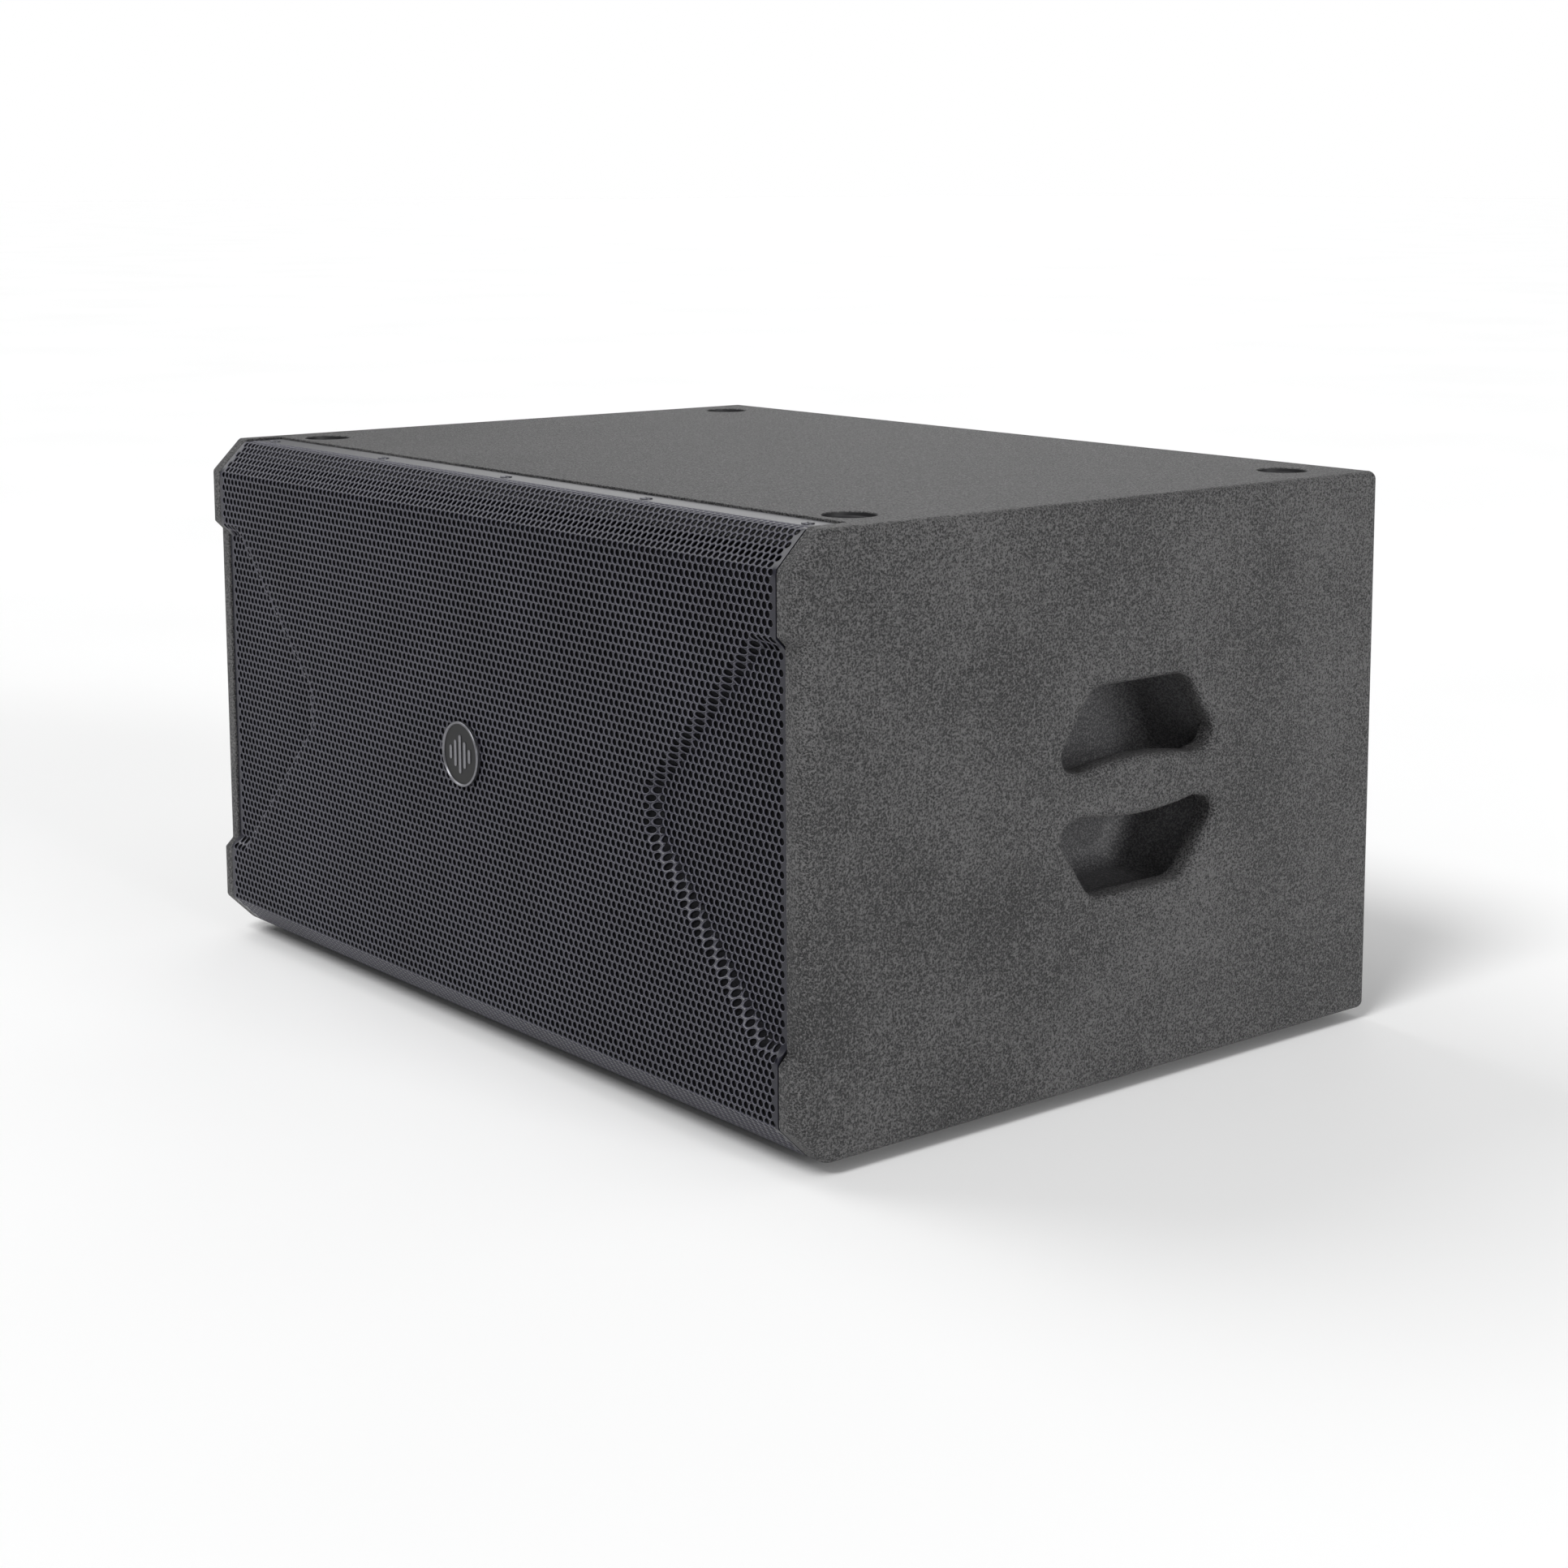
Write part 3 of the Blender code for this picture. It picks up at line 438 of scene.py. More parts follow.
def make_coating(name, dark, light, lift):
    """Rolled, pebbled black paint on the wooden cabinet."""
    recipe = Recipe(name)
    pebbles = recipe.cells(760.0, "SMOOTH_F1")
    lumps = recipe.noise(860.0, 2.0, 0.6)
    fine = recipe.noise(2000.0, 1.0, 0.5)
    broad = recipe.noise(9.0, 2.0, 0.5)
    height = recipe.mix(pebbles, lumps, 0.62)
    shade = recipe.mix(recipe.mix(height, fine, 0.30), broad, 0.12)
    recipe.colour(shade, [(0.44, dark), (0.55, light)])
    recipe.rough(recipe.mix(fine, broad, 0.4), 0.42, 0.58)
    first = recipe.bump(fine, lift * 0.3)
    recipe.bump(height, lift, first)
    return recipe.material


def make_wood():
    """Birch plywood, with its layers seen at cut edges and long grain on its faces."""
    recipe = Recipe("bare_plywood", specular=0.3)
    grain = recipe.noise(60.0, 5.0, 0.6, recipe.stretched((1.0, 9.0, 9.0)))
    lines = recipe.bands(160.0, "Y", 1.5)
    both = recipe.mix(grain, lines, 0.35)
    recipe.colour(both, [(0.25, (0.30, 0.18, 0.09)), (0.75, (0.56, 0.40, 0.24))])
    recipe.rough(grain, 0.6, 0.8)
    recipe.bump(both, 0.00012)
    return recipe.material


def make_cloth(name, dark, light, threads):
    """A woven cloth with its threads crossing."""
    recipe = Recipe(name, specular=0.25)
    warp = recipe.bands(threads, "X")
    weft = recipe.bands(threads, "Z")
    weave = recipe.product(warp, weft)
    fibres = recipe.noise(900.0, 3.0, 0.6)
    both = recipe.mix(weave, fibres, 0.45)
    recipe.colour(both, [(0.2, dark), (0.8, light)])
    recipe.rough(fibres, 0.8, 0.95)
    recipe.bump(both, 0.00015)
    recipe.shader.inputs["Sheen Weight"].default_value = 0.15
    return recipe.material


def make_foam():
    """Open-cell acoustic foam."""
    recipe = Recipe("acoustic_foam", specular=0.2)
    pores = recipe.cells(700.0, "F1")
    soft = recipe.noise(260.0, 3.0, 0.6)
    both = recipe.mix(pores, soft, 0.5)
    recipe.colour(both, [(0.2, (0.0015, 0.0015, 0.002)), (0.7, (0.008, 0.008, 0.010))])
    recipe.rough(soft, 0.9, 1.0)
    recipe.bump(both, 0.0005)
    return recipe.material


def make_copper():
    """Fine copper wire wound side by side."""
    recipe = Recipe("copper_winding", metallic=1.0)
    turns = recipe.bands(900.0, "Y")
    tone = recipe.noise(90.0, 2.0, 0.5)
    both = recipe.mix(turns, tone, 0.4)
    recipe.colour(both, [(0.2, (0.33, 0.12, 0.05)), (0.8, (0.83, 0.42, 0.24))])
    recipe.rough(tone, 0.25, 0.45)
    recipe.bump(turns, 0.0001)
    return recipe.material


COAT = make_coating("cabinet_coating", (0.008, 0.008, 0.009), (0.138, 0.136, 0.137), 0.0026)
# The cup's coat is lighter than the cabinet's: painted light on the cup floor, which the lamps barely
# reach through the slots.
CUP_COAT_PAINTED_LIGHT = make_coating("cup_coating_painted_light", (0.045, 0.045, 0.048), (0.150, 0.148, 0.152), 0.0006)
PANEL_PAINT = make_coating("inner_paint", (0.004, 0.004, 0.004), (0.016, 0.016, 0.016), 0.0002)
# Recess lining darker than the coat: painted shade in the stacking recesses.
RECESS_SHADE = simple(
    "recess_painted_shade", (0.006, 0.006, 0.007), (0.016, 0.016, 0.018), 700.0, (0.45, 0.65)
)
STEEL_BLACK = simple(
    "grille_powder_coat", (0.008, 0.008, 0.013), (0.020, 0.020, 0.031),
    1400.0, (0.27, 0.34), 0.00003, specular=0.32,
)
# Lighter colour on the hole rims: mostly a painted highlight, partly the thinner powder coat on
# broken edges.
STEEL_RIM_HIGHLIGHT = simple(
    "steel_rim_painted_highlight", (0.064, 0.063, 0.080), (0.112, 0.110, 0.138),
    1400.0, (0.30, 0.40), 0.00002, specular=0.5,
)
FOAM = make_foam()
BADGE_FACE = simple(
    "badge_face", (0.003, 0.003, 0.003), (0.008, 0.008, 0.009),
    500.0, (0.34, 0.46), 0.00001, specular=0.25,
)
BADGE_METAL = simple(
    "badge_metal", (0.13, 0.13, 0.14), (0.28, 0.28, 0.30),
    350.0, (0.30, 0.45), 0.00001, 1.0, (1, 1, 14),
)
SCREW_METAL = simple(
    "dark_nickel", (0.07, 0.07, 0.08), (0.18, 0.18, 0.20), 500.0, (0.30, 0.45), 0.00002, 1.0
)
ZINC = simple(
    "zinc_plate", (0.46, 0.46, 0.47), (0.78, 0.78, 0.80), 420.0, (0.22, 0.42), 0.00003, 1.0
)
RUBBER = simple(
    "foot_rubber", (0.008, 0.008, 0.008), (0.028, 0.028, 0.028), 500.0, (0.6, 0.85), 0.0001
)
PLATE = simple(
    "amp_plate_paint", (0.010, 0.010, 0.011), (0.026, 0.026, 0.028), 1300.0, (0.38, 0.55)
)
ANODISED = simple(
    "black_anodised", (0.020, 0.020, 0.023), (0.060, 0.060, 0.066),
    260.0, (0.30, 0.50), 0.00003, 0.8, (9, 9, 1),
)
PLASTIC = simple(
    "moulded_plastic", (0.009, 0.009, 0.010), (0.024, 0.024, 0.026), 900.0, (0.32, 0.50), 0.00003
)
MARK = simple(
    "printed_mark", (0.55, 0.55, 0.55), (0.80, 0.80, 0.80), 600.0, (0.5, 0.7), 0.00002
)
FERRITE = simple(
    "ferrite_ceramic", (0.012, 0.012, 0.013), (0.050, 0.050, 0.055), 160.0, (0.5, 0.75), 0.0002
)
BOARD = simple(
    "circuit_board", (0.004, 0.045, 0.016), (0.012, 0.13, 0.045), 120.0, (0.3, 0.55), 0.0001
)
PAPER = simple(
    "cone_paper", (0.012, 0.012, 0.012), (0.045, 0.044, 0.043), 300.0, (0.75, 0.95), 0.00025
)
BASKET_PAINT = simple(
    "basket_paint", (0.010, 0.010, 0.011), (0.035, 0.035, 0.037), 600.0, (0.4, 0.6), 0.00008
)
WOOD = make_wood()
BLACK_CLOTH = make_cloth("surround_cloth", (0.006, 0.006, 0.006), (0.030, 0.030, 0.030), 260.0)
SPIDER_CLOTH = make_cloth("spider_cloth_weave", (0.20, 0.11, 0.04), (0.50, 0.33, 0.15), 300.0)
COPPER = make_copper()


# ---------------------------------------------------------------- side panels

ARC_STEPS = 6
FILLET_STEPS = 8
SLOT_BREAK = 0.0015


def side_corners():
    """Corners of the side panel as (Y, Z, radius, outer rounding, inner rounding).

    The roundings belong to the edge that runs from a corner to the next.
    """
    front, slope, edge, inner = 0.0105, 0.0085, 0.0060, 0.0012
    low, high = NOTCH_LOW, NOTCH_HIGH
    return [
        (FRONT + CHAMFER, BASE, 0.012, edge, 0.0),
        (BACK, BASE, 0.006, edge, inner),
        (BACK, TOP, 0.006, edge, 0.0),
        (FRONT + CHAMFER, TOP, 0.006, slope, inner),
        (FRONT, TOP - CHAMFER, 0.006, front, inner),
        (FRONT, high + NOTCH, 0.0015, front, inner),
        (FRONT + NOTCH, high, 0.0015, front, inner),
        (FRONT + NOTCH, low, 0.0015, front, inner),
        (FRONT, low - NOTCH, 0.0015, front, inner),
        (FRONT, BASE + CHAMFER, 0.006, slope, inner),
    ]


def inset_outline(corners, which, share):
    """The outline with each edge moved in by a share of its rounding, and each point's rounding."""
    count = len(corners)
    lines = []
    for i, corner in enumerate(corners):
        a = Vector(corner[:2])
        b = Vector(corners[(i + 1) % count][:2])
        along = (b - a).normalized()
        inward = Vector((-along.y, along.x))
        lines.append((a + inward * corner[which] * share, along))
    moved = []
    for i in range(count):
        p, u = lines[i - 1]
        q, v = lines[i]
        cross = u.x * v.y - u.y * v.x
        step = ((q.x - p.x) * v.y - (q.y - p.y) * v.x) / cross
        moved.append(p + u * step)
    points, rounding = [], []
    for i, corner in enumerate(corners):
        before, after = moved[i - 1], moved[(i + 1) % count]
        r_before, r_after = corners[i - 1][which], corner[which]
        u, v = lines[i - 1][1], lines[i][1]
        bends_in = u.x * v.y - u.y * v.x > 0
        shrink = share * (r_before + r_after) / 2
        radius = max(corner[2] - shrink, LEAST_RADIUS) if bends_in else corner[2] + shrink
        shorter = min((moved[i] - before).length, (after - moved[i]).length)
        radius = min(radius, MOST_ROUNDED * shorter)
        points += corner_arc(before, moved[i], after, radius, ARC_STEPS)
        rounding += [r_before + (r_after - r_before) * k / ARC_STEPS for k in range(ARC_STEPS + 1)]
    return points, rounding


def hand_slot(sign):
    """One of the two openings beside the grip bar, as a closed outline of (Y, Z) points."""
    edge = []
    half = HANDLE_HALF_W - SLOT_END
    steps = 16
    for i in range(steps + 1):
        t = -1 + 2 * i / steps
        rise = GRIP_HALF_H + GRIP_BULGE * (1 - t * t)
        edge.append((HANDLE_Y + half * t, HANDLE_Z + sign * rise))
    shoulder = HANDLE_Z + sign * (GRIP_HALF_H + SLOT_SHOULDER)
    far = HANDLE_Z + sign * HANDLE_HALF_H
    corners = [
        (*edge[-1], SLOT_GRIP_R),
        (HANDLE_Y + HANDLE_HALF_W, shoulder, SLOT_SHOULDER_R),
        (HANDLE_Y + HANDLE_HALF_TOP, far, SLOT_FAR_R),
        (HANDLE_Y - HANDLE_HALF_TOP, far, SLOT_FAR_R),
        (HANDLE_Y - HANDLE_HALF_W, shoulder, SLOT_SHOULDER_R),
        (*edge[0], SLOT_GRIP_R),
    ]
    outline = edge[1:-1]
    for i, (a, b, radius) in enumerate(corners):
        before = corners[i - 1][:2] if i else edge[-2]
        after = corners[i + 1][:2] if i < len(corners) - 1 else edge[1]
        outline += corner_arc(before, (a, b), after, radius, ARC_STEPS)
    return outline


def make_side(side, name):
    """A coated side panel with its edges and hand slots rounded."""
    corners = side_corners()
    maker = Maker(Matrix.Diagonal((side, 1, 1, 1)))
    loops = []
    for inset, rise in reversed(quarter(3)):
        points, rounding = inset_outline(corners, 4, inset)
        loops.append(
            maker.loop((INNER_X + r * rise, a, b) for (a, b), r in zip(points, rounding))
        )
    for inset, rise in quarter(FILLET_STEPS):
        points, rounding = inset_outline(corners, 3, inset)
        loops.append(
            maker.loop((OUTER_X - r * rise, a, b) for (a, b), r in zip(points, rounding))
        )
    maker.skin(loops)
    inside, outside = [loops[0]], [loops[-1]]
    for sign in (1, -1):
        outline = hand_slot(sign)
        rings = [maker.loop((INNER_X, a, b) for a, b in grown(outline, SLOT_BREAK))]
        rings.append(maker.loop((INNER_X + SLOT_BREAK, a, b) for a, b in outline))
        for inset, rise in quarter(FILLET_STEPS):
            wider = grown(outline, SLOT_FILLET * inset)
            rings.append(maker.loop((OUTER_X - SLOT_FILLET * rise, a, b) for a, b in wider))
        maker.skin(rings)
        inside.append(rings[0])
        outside.append(rings[-1])
    maker.cap(inside)
    maker.cap(outside)
    panel = maker.make("side_coated_" + name, "cabinet", [COAT])
    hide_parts("side_panel_" + name)


make_side(-1, "left")
make_side(1, "right")


def cup_outline(margin, radius):
    wide, narrow, tall = (h + margin for h in (HANDLE_HALF_W, HANDLE_HALF_TOP, HANDLE_HALF_H))
    corners = [
        (HANDLE_Y + wide, HANDLE_Z, radius),
        (HANDLE_Y + narrow, HANDLE_Z + tall, radius),
        (HANDLE_Y - narrow, HANDLE_Z + tall, radius),
        (HANDLE_Y - wide, HANDLE_Z, radius),
        (HANDLE_Y - narrow, HANDLE_Z - tall, radius),
        (HANDLE_Y + narrow, HANDLE_Z - tall, radius),
    ]
    return rounded(corners, 6)


def make_cup(side, name):
    """The moulded tray behind a hand hole, with rounded inner corners and tapered walls."""
    low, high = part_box("handle_cup_" + name)
    mouth = high.x if side > 0 else -low.x
    floor = low.x if side > 0 else -high.x
    wall, margin, fillet, taper = 0.003, 0.008, 0.016, 0.004
    inner_r, outer_r = 0.012, 0.014
    maker = Maker(Matrix.Diagonal((side, 1, 1, 1)))
    inner = [maker.loop((mouth, a, b) for a, b in cup_outline(margin, inner_r))]
    for inset, rise in quarter(FILLET_STEPS):
        outline = cup_outline(margin - (fillet * inset + taper), inner_r)
        inner.append(maker.loop((floor + wall + fillet * rise, a, b) for a, b in outline))
    maker.skin(inner)
    maker.cap([inner[-1]])
    shell = [inner[0], maker.loop((mouth, a, b) for a, b in cup_outline(margin + wall, outer_r))]
    for inset, rise in quarter(4):
        outline = cup_outline(margin + wall - fillet * inset, outer_r)
        shell.append(maker.loop((floor + fillet * rise, a, b) for a, b in outline))
    maker.skin(shell)
    maker.cap([shell[-1]])
    # Its lighter coat is painted light inside the cup.
    cup = maker.make("cup_" + name, "cabinet", [CUP_COAT_PAINTED_LIGHT])
    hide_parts("handle_cup_" + name)


make_cup(-1, "left")
make_cup(1, "right")


# ---------------------------------------------------------------- top and bottom

RECESS_R = 0.0175
RECESS_DEPTH = 0.0038
RECESS_LIP = 0.0011
RECESS_FOOT = 0.0012


def panel_outline(level, inward):
    """The top or bottom panel's section as (Y, Z) points; its outer face is between the first two."""
    seat = FLANGE_DROP + 0.0018
    seat_start = FRONT + 0.0285
    lip = FLANGE_END + 0.0015
    rear = corner_arc((FRONT, level), (BACK, level), (BACK, MID_Z), 0.006, ARC_STEPS)
    inner = level + inward * PANEL_T
    inside = corner_arc((BACK, level), (BACK, inner), (FRONT, inner), 0.0012, 3)
    slot_depth = 0.0070
    slot_side = FLANGE_END - 0.0008
    under = [
        (seat_start, inner),
        (seat_start, level + inward * seat),
        (slot_side, level + inward * seat),
        (slot_side, level + inward * slot_depth),
        (lip, level + inward * slot_depth),
    ]
    front = corner_arc((lip, level + inward * seat), (lip, level), (BACK, level), 0.0006, 3)
    return [front[-1]] + rear + inside + under + front[:-1]


def recess_rings():
    """(Radius, depth) of each ring of a stacking recess, from its rounded lip down to its floor."""
    lip = [(RECESS_R + RECESS_LIP * rise, RECESS_LIP * inset) for inset, rise in quarter(4)]
    foot = [
        (RECESS_R - RECESS_FOOT * inset, RECESS_DEPTH - RECESS_FOOT * rise)
        for inset, rise in quarter(4)
    ]
    return lip + foot


def make_flat_panel(name, node, level, inward, recesses):
    """The coated top or bottom panel, with darker recess linings, a painted shade, where recesses are
    given.
    """
    outline = panel_outline(level, inward)
    maker = Maker()
    left = maker.loop((-INNER_X, a, b) for a, b in outline)
    right = maker.loop((INNER_X, a, b) for a, b in outline)
    maker.skin([left[1:] + left[:1], right[1:] + right[:1]], closed=False)
    maker.cap([left])
    maker.cap([right])
    holes = []
    for spot in recesses:
        loops = []
        for radius, drop in recess_rings():
            ring = circle(radius, 48, spot)
            loops.append(maker.loop((a, b, level + inward * drop) for a, b in ring))
        maker.skin(loops[:4])
        # The recess walls and floor take the darker second material: painted shade.
        maker.skin(loops[3:], 1)
        maker.cap([loops[-1]], 1)
        holes.append(loops[0])
    maker.cap([[left[0], left[1], right[1], right[0]]] + holes)
    panel = maker.make(name, "cabinet", [COAT, RECESS_SHADE])
    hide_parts(node)


FEET = []
for label in ("front_left", "front_right", "rear_left", "rear_right"):
    low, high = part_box("foot_" + label)
    FEET.append((label, (low.x + high.x) / 2, (low.y + high.y) / 2))

make_flat_panel("top_coated", "top_panel", TOP, -1, [(x, y) for _, x, y in FEET])
make_flat_panel("bottom_coated", "bottom_panel", BASE, 1, [])


def make_foot(label, x, y):
    """A moulded rubber foot with a grip ring, a sunk washer and its screw."""
    maker = Maker(Matrix.Translation((x, y, 0)))
    top = BASE - 0.0001
    body = [(0.0, top), (0.0163, top), (0.0165, top - 0.0006), (0.0163, 0.0052), (0.0150, 0.0008)]
    ring = [(0.0144, 0.0), (0.0128, 0.0), (0.0124, 0.0006), (0.0116, 0.0006), (0.0112, 0.0)]
    well = [(0.0092, 0.0), (0.0086, 0.0005), (0.0082, 0.0022), (0.0075, 0.0025)]
    metal = [(0.0074, 0.0024), (0.0046, 0.0024), (0.0040, 0.0018), (0.0012, 0.0014)]
    metal += [(0.0011, 0.0030), (0.0, 0.0032)]
    maker.lathe(body + ring + well + [(radius, height, 1) for radius, height in metal])
    foot = maker.make("foot_" + label + "_moulded", "cabinet", [RUBBER, ZINC])
    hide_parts("foot_" + label)


for label, x, y in FEET:
    make_foot(label, x, y)


# ---------------------------------------------------------------- grille

# The perforation: round holes in hexagonal cells, in rows that run across the folded section
PITCH = 0.0060
ROW = PITCH * 3**0.5 / 2
CELL_R = PITCH / 3**0.5
HOLE_R = 0.0024
HOLE_STEPS = 12
RIM = 0.0005
SHEET_T = 0.0013
ROWS = 41
STRIP_START = 0.0050
SIDE_MARGIN = 0.0028
EDGE_SLACK = 0.0002
SECTIONS = 5


# Lengths along half the folded section: flat front, bend, slope, bend, flange
SLOPE = CHAMFER - FLANGE_DROP
BEND_TRIM = BEND * tan(pi / 8)
BEND_LENGTH = BEND * pi / 4
FLAT_LENGTH = (TOP - CHAMFER) - MID_Z - BEND_TRIM
SLOPE_LENGTH = SLOPE * 2**0.5 - 2 * BEND_TRIM
FLANGE_LENGTH = FLANGE_END - FRONT - SLOPE - BEND_TRIM
SECTION_END = FLAT_LENGTH + SLOPE_LENGTH + FLANGE_LENGTH + 2 * BEND_LENGTH


def along_section(s):
    """Where the grille's folded section is at a distance from its middle: (Y, Z, lean) arrays."""
    s = np.asarray(s, float)
    way = np.sign(s)
    d = np.abs(s)
    first = np.clip(d - FLAT_LENGTH, 0, BEND_LENGTH) / BEND
    y = FRONT + BEND * (1 - np.cos(first))
    z = np.minimum(d, FLAT_LENGTH) + BEND * np.sin(first)
    slope = np.clip(d - FLAT_LENGTH - BEND_LENGTH, 0, SLOPE_LENGTH)
    y = y + slope * sin(pi / 4)
    z = z + slope * cos(pi / 4)
    bent = np.clip(d - FLAT_LENGTH - BEND_LENGTH - SLOPE_LENGTH, 0, BEND_LENGTH) / BEND
    second = pi / 4 + bent
    y = y + BEND * (cos(pi / 4) - np.cos(second))
    z = z + BEND * (np.sin(second) - sin(pi / 4))
    y = y + np.clip(d - FLAT_LENGTH - 2 * BEND_LENGTH - SLOPE_LENGTH, 0, None)
    return y, MID_Z + way * z, way * (first + bent)


def wing_sink(x, z):
    """How far the sheet is pressed in at a point of its flat front."""
    u = np.abs(x) - WING_NOSE_X
    v = z - WING_NOSE_Z
    slanted = (u + WING_NOSE_HALF - np.abs(v)) / 2**0.5
    level = np.minimum(z - WING_LOW, WING_HIGH - z)
    inside = np.minimum(np.minimum(u, slanted), level) / WING_STEP_W
    t = np.clip(inside, 0, 1)
    near = np.minimum(t, 1 - t)
    depth = np.where(near < WING_BEND, near * near / (2 * WING_BEND), near - WING_BEND / 2)
    depth = depth / (1 - WING_BEND)
    return WING_SINK * np.where(t < 0.5, depth, 1 - depth)


def on_grille(x, s, depth):
    """Points of the folded sheet at a depth behind its outer face."""
    y, z, lean = along_section(s)
    out_y, out_z = -np.cos(lean), np.sin(lean)
    y = y - depth * out_y + wing_sink(x, z)
    z = z - depth * out_z
    return np.stack([x, y, z], -1)


def perforation_cells():
    """(X, distance along the section, row) of each hexagonal cell."""
    cells = []
    reach = ceil((SHEET_X + PITCH) / PITCH)
    for row in range(-ROWS, ROWS + 1):
        shift = PITCH / 2 if row % 2 else 0.0
        for column in range(-reach, reach + 1):
            x = column * PITCH + shift
            if abs(x) - PITCH / 2 < SHEET_X - EDGE_SLACK:
                cells.append((x, row * ROW, row))
    return np.array(cells)


class SheetPlan:
    """The flat layout of one stretch of the sheet: shared corners, faces and outer edges."""

    def __init__(self):
        self.numbers = {}
        self.points = []
        self.faces = []
        self.holes = []
        self.edges = {}

    def corner(self, x, s):
        x = min(max(x, -SHEET_X), SHEET_X)
        key = (round(x * 1e6), round(s * 1e6))
        if key not in self.numbers:
            self.numbers[key] = len(self.points)
            self.points.append((x, s))
        return self.numbers[key]

    def add(self, face, hole=None):
        """A face, with the number of the hole in it; an edge that two faces share isn't outer."""
        self.faces.append((face, hole))
        for a, b in zip(face, face[1:] + face[:1]):
            if (b, a) in self.edges:
                del self.edges[(b, a)]
            else:
                self.edges[(a, b)] = True

    def add_cell(self, x, s):
        turns = [pi / 3 * k for k in range(6)]
        ring = [self.corner(x + CELL_R * sin(t), s + CELL_R * cos(t)) for t in turns]
        hole = None
        if abs(x) + HOLE_R + RIM < SHEET_X - SIDE_MARGIN:
            hole = len(self.holes)
            self.holes.append((x, s))
        self.add(ring, hole)

    def add_flange(self, x, s, way):
        """The plain strip that runs on from a cell of the last row to the end of the sheet."""
        line, end = s + way * STRIP_START, way * SECTION_END
        for start, tip_a, tip_b in ((-PITCH / 2, CELL_R / 2, CELL_R), (0.0, CELL_R, CELL_R / 2)):
            a = self.corner(x + start, s + way * tip_a)
            b = self.corner(x + start + PITCH / 2, s + way * tip_b)
            for level in (line, (line + end) / 2, end):
                c = self.corner(x + start + PITCH / 2, level)
                d = self.corner(x + start, level)
                if len({a, b, c, d}) > 2 and a != b:
                    self.add([a, d, c, b] if way > 0 else [a, b, c, d])
                a, b = d, c


def perforated_mesh(name, plan):
    """A plan's mesh, with thickness and with holes whose front edges are broken."""
    base = np.array(plan.points)
    centres = np.array(plan.holes)
    turns = [2 * pi * k / HOLE_STEPS for k in range(HOLE_STEPS)]
    rim_x = np.array([sin(t) for t in turns])
    rim_s = np.array([cos(t) for t in turns])
    points = [on_grille(base[:, 0], base[:, 1], depth) for depth in (0.0, SHEET_T)]
    for r, depth in ((HOLE_R + RIM, 0.0), (HOLE_R, RIM), (HOLE_R, SHEET_T)):
        ring = on_grille(centres[:, :1] + r * rim_x, centres[:, 1:] + r * rim_s, depth)
        points.append(ring.reshape(-1, 3))
    back = len(base)
    first = 2 * back
    second = first + len(centres) * HOLE_STEPS
    third = second + len(centres) * HOLE_STEPS
    faces = []
    for face, hole in plan.faces:
        if hole is None:
            kept = list(dict.fromkeys(face))
            if len(kept) > 2:
                faces.append(tuple(kept))
                faces.append(tuple(i + back for i in reversed(kept)))
            continue
        for k in range(6):
            a, b = face[k], face[(k + 1) % 6]
            p, q, r = (hole * HOLE_STEPS + (2 * k + i) % HOLE_STEPS for i in range(3))
            faces += [(a, b, first + q), (a, first + q, first + p), (b, first + r, first + q)]
            a, b = a + back, b + back
            faces += [(b, a, third + q), (third + q, a, third + p), (third + r, b, third + q)]
            for c, d in ((p, q), (q, r)):
                faces.append((first + c, first + d, second + d, second + c))
                faces.append((second + c, second + d, third + d, third + c))
    for a, b in plan.edges:
        if a != b:
            faces.append((b, a, a + back, b + back))
    mesh = bpy.data.meshes.new(name)
    mesh.from_pydata(np.concatenate(points).tolist(), [], faces)
    # The rim faces get the lighter material: a painted highlight round each hole.
    rim_highlight_faces = [first <= min(face) < second and max(face) < third for face in faces]
    mesh.polygons.foreach_set("material_index", np.array(rim_highlight_faces, np.int32))
    mesh.validate()
    mesh.flip_normals()
    return mesh


def make_grille():
    cells = perforation_cells()
    along = (cells[:, 0] + SHEET_X) * SECTIONS / (2 * SHEET_X)
    section = np.clip(along, 0, SECTIONS - 1).astype(int)
    # The second look paints a highlight on the hole rims.
    looks = [STEEL_BLACK, STEEL_RIM_HIGHLIGHT]
    for number in range(SECTIONS):
        plan = SheetPlan()
        for x, s, row in cells[section == number]:
            plan.add_cell(x, s)
            if abs(row) == ROWS:
                plan.add_flange(x, s, 1 if row > 0 else -1)
        name = f"grille_section_{number + 1}"
        mesh = perforated_mesh(name, plan)
        piece = finish_piece(
            mesh, name, "cabinet", looks, SMOOTH_SHEET, weighted=False
        )
        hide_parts("grille")


make_grille()


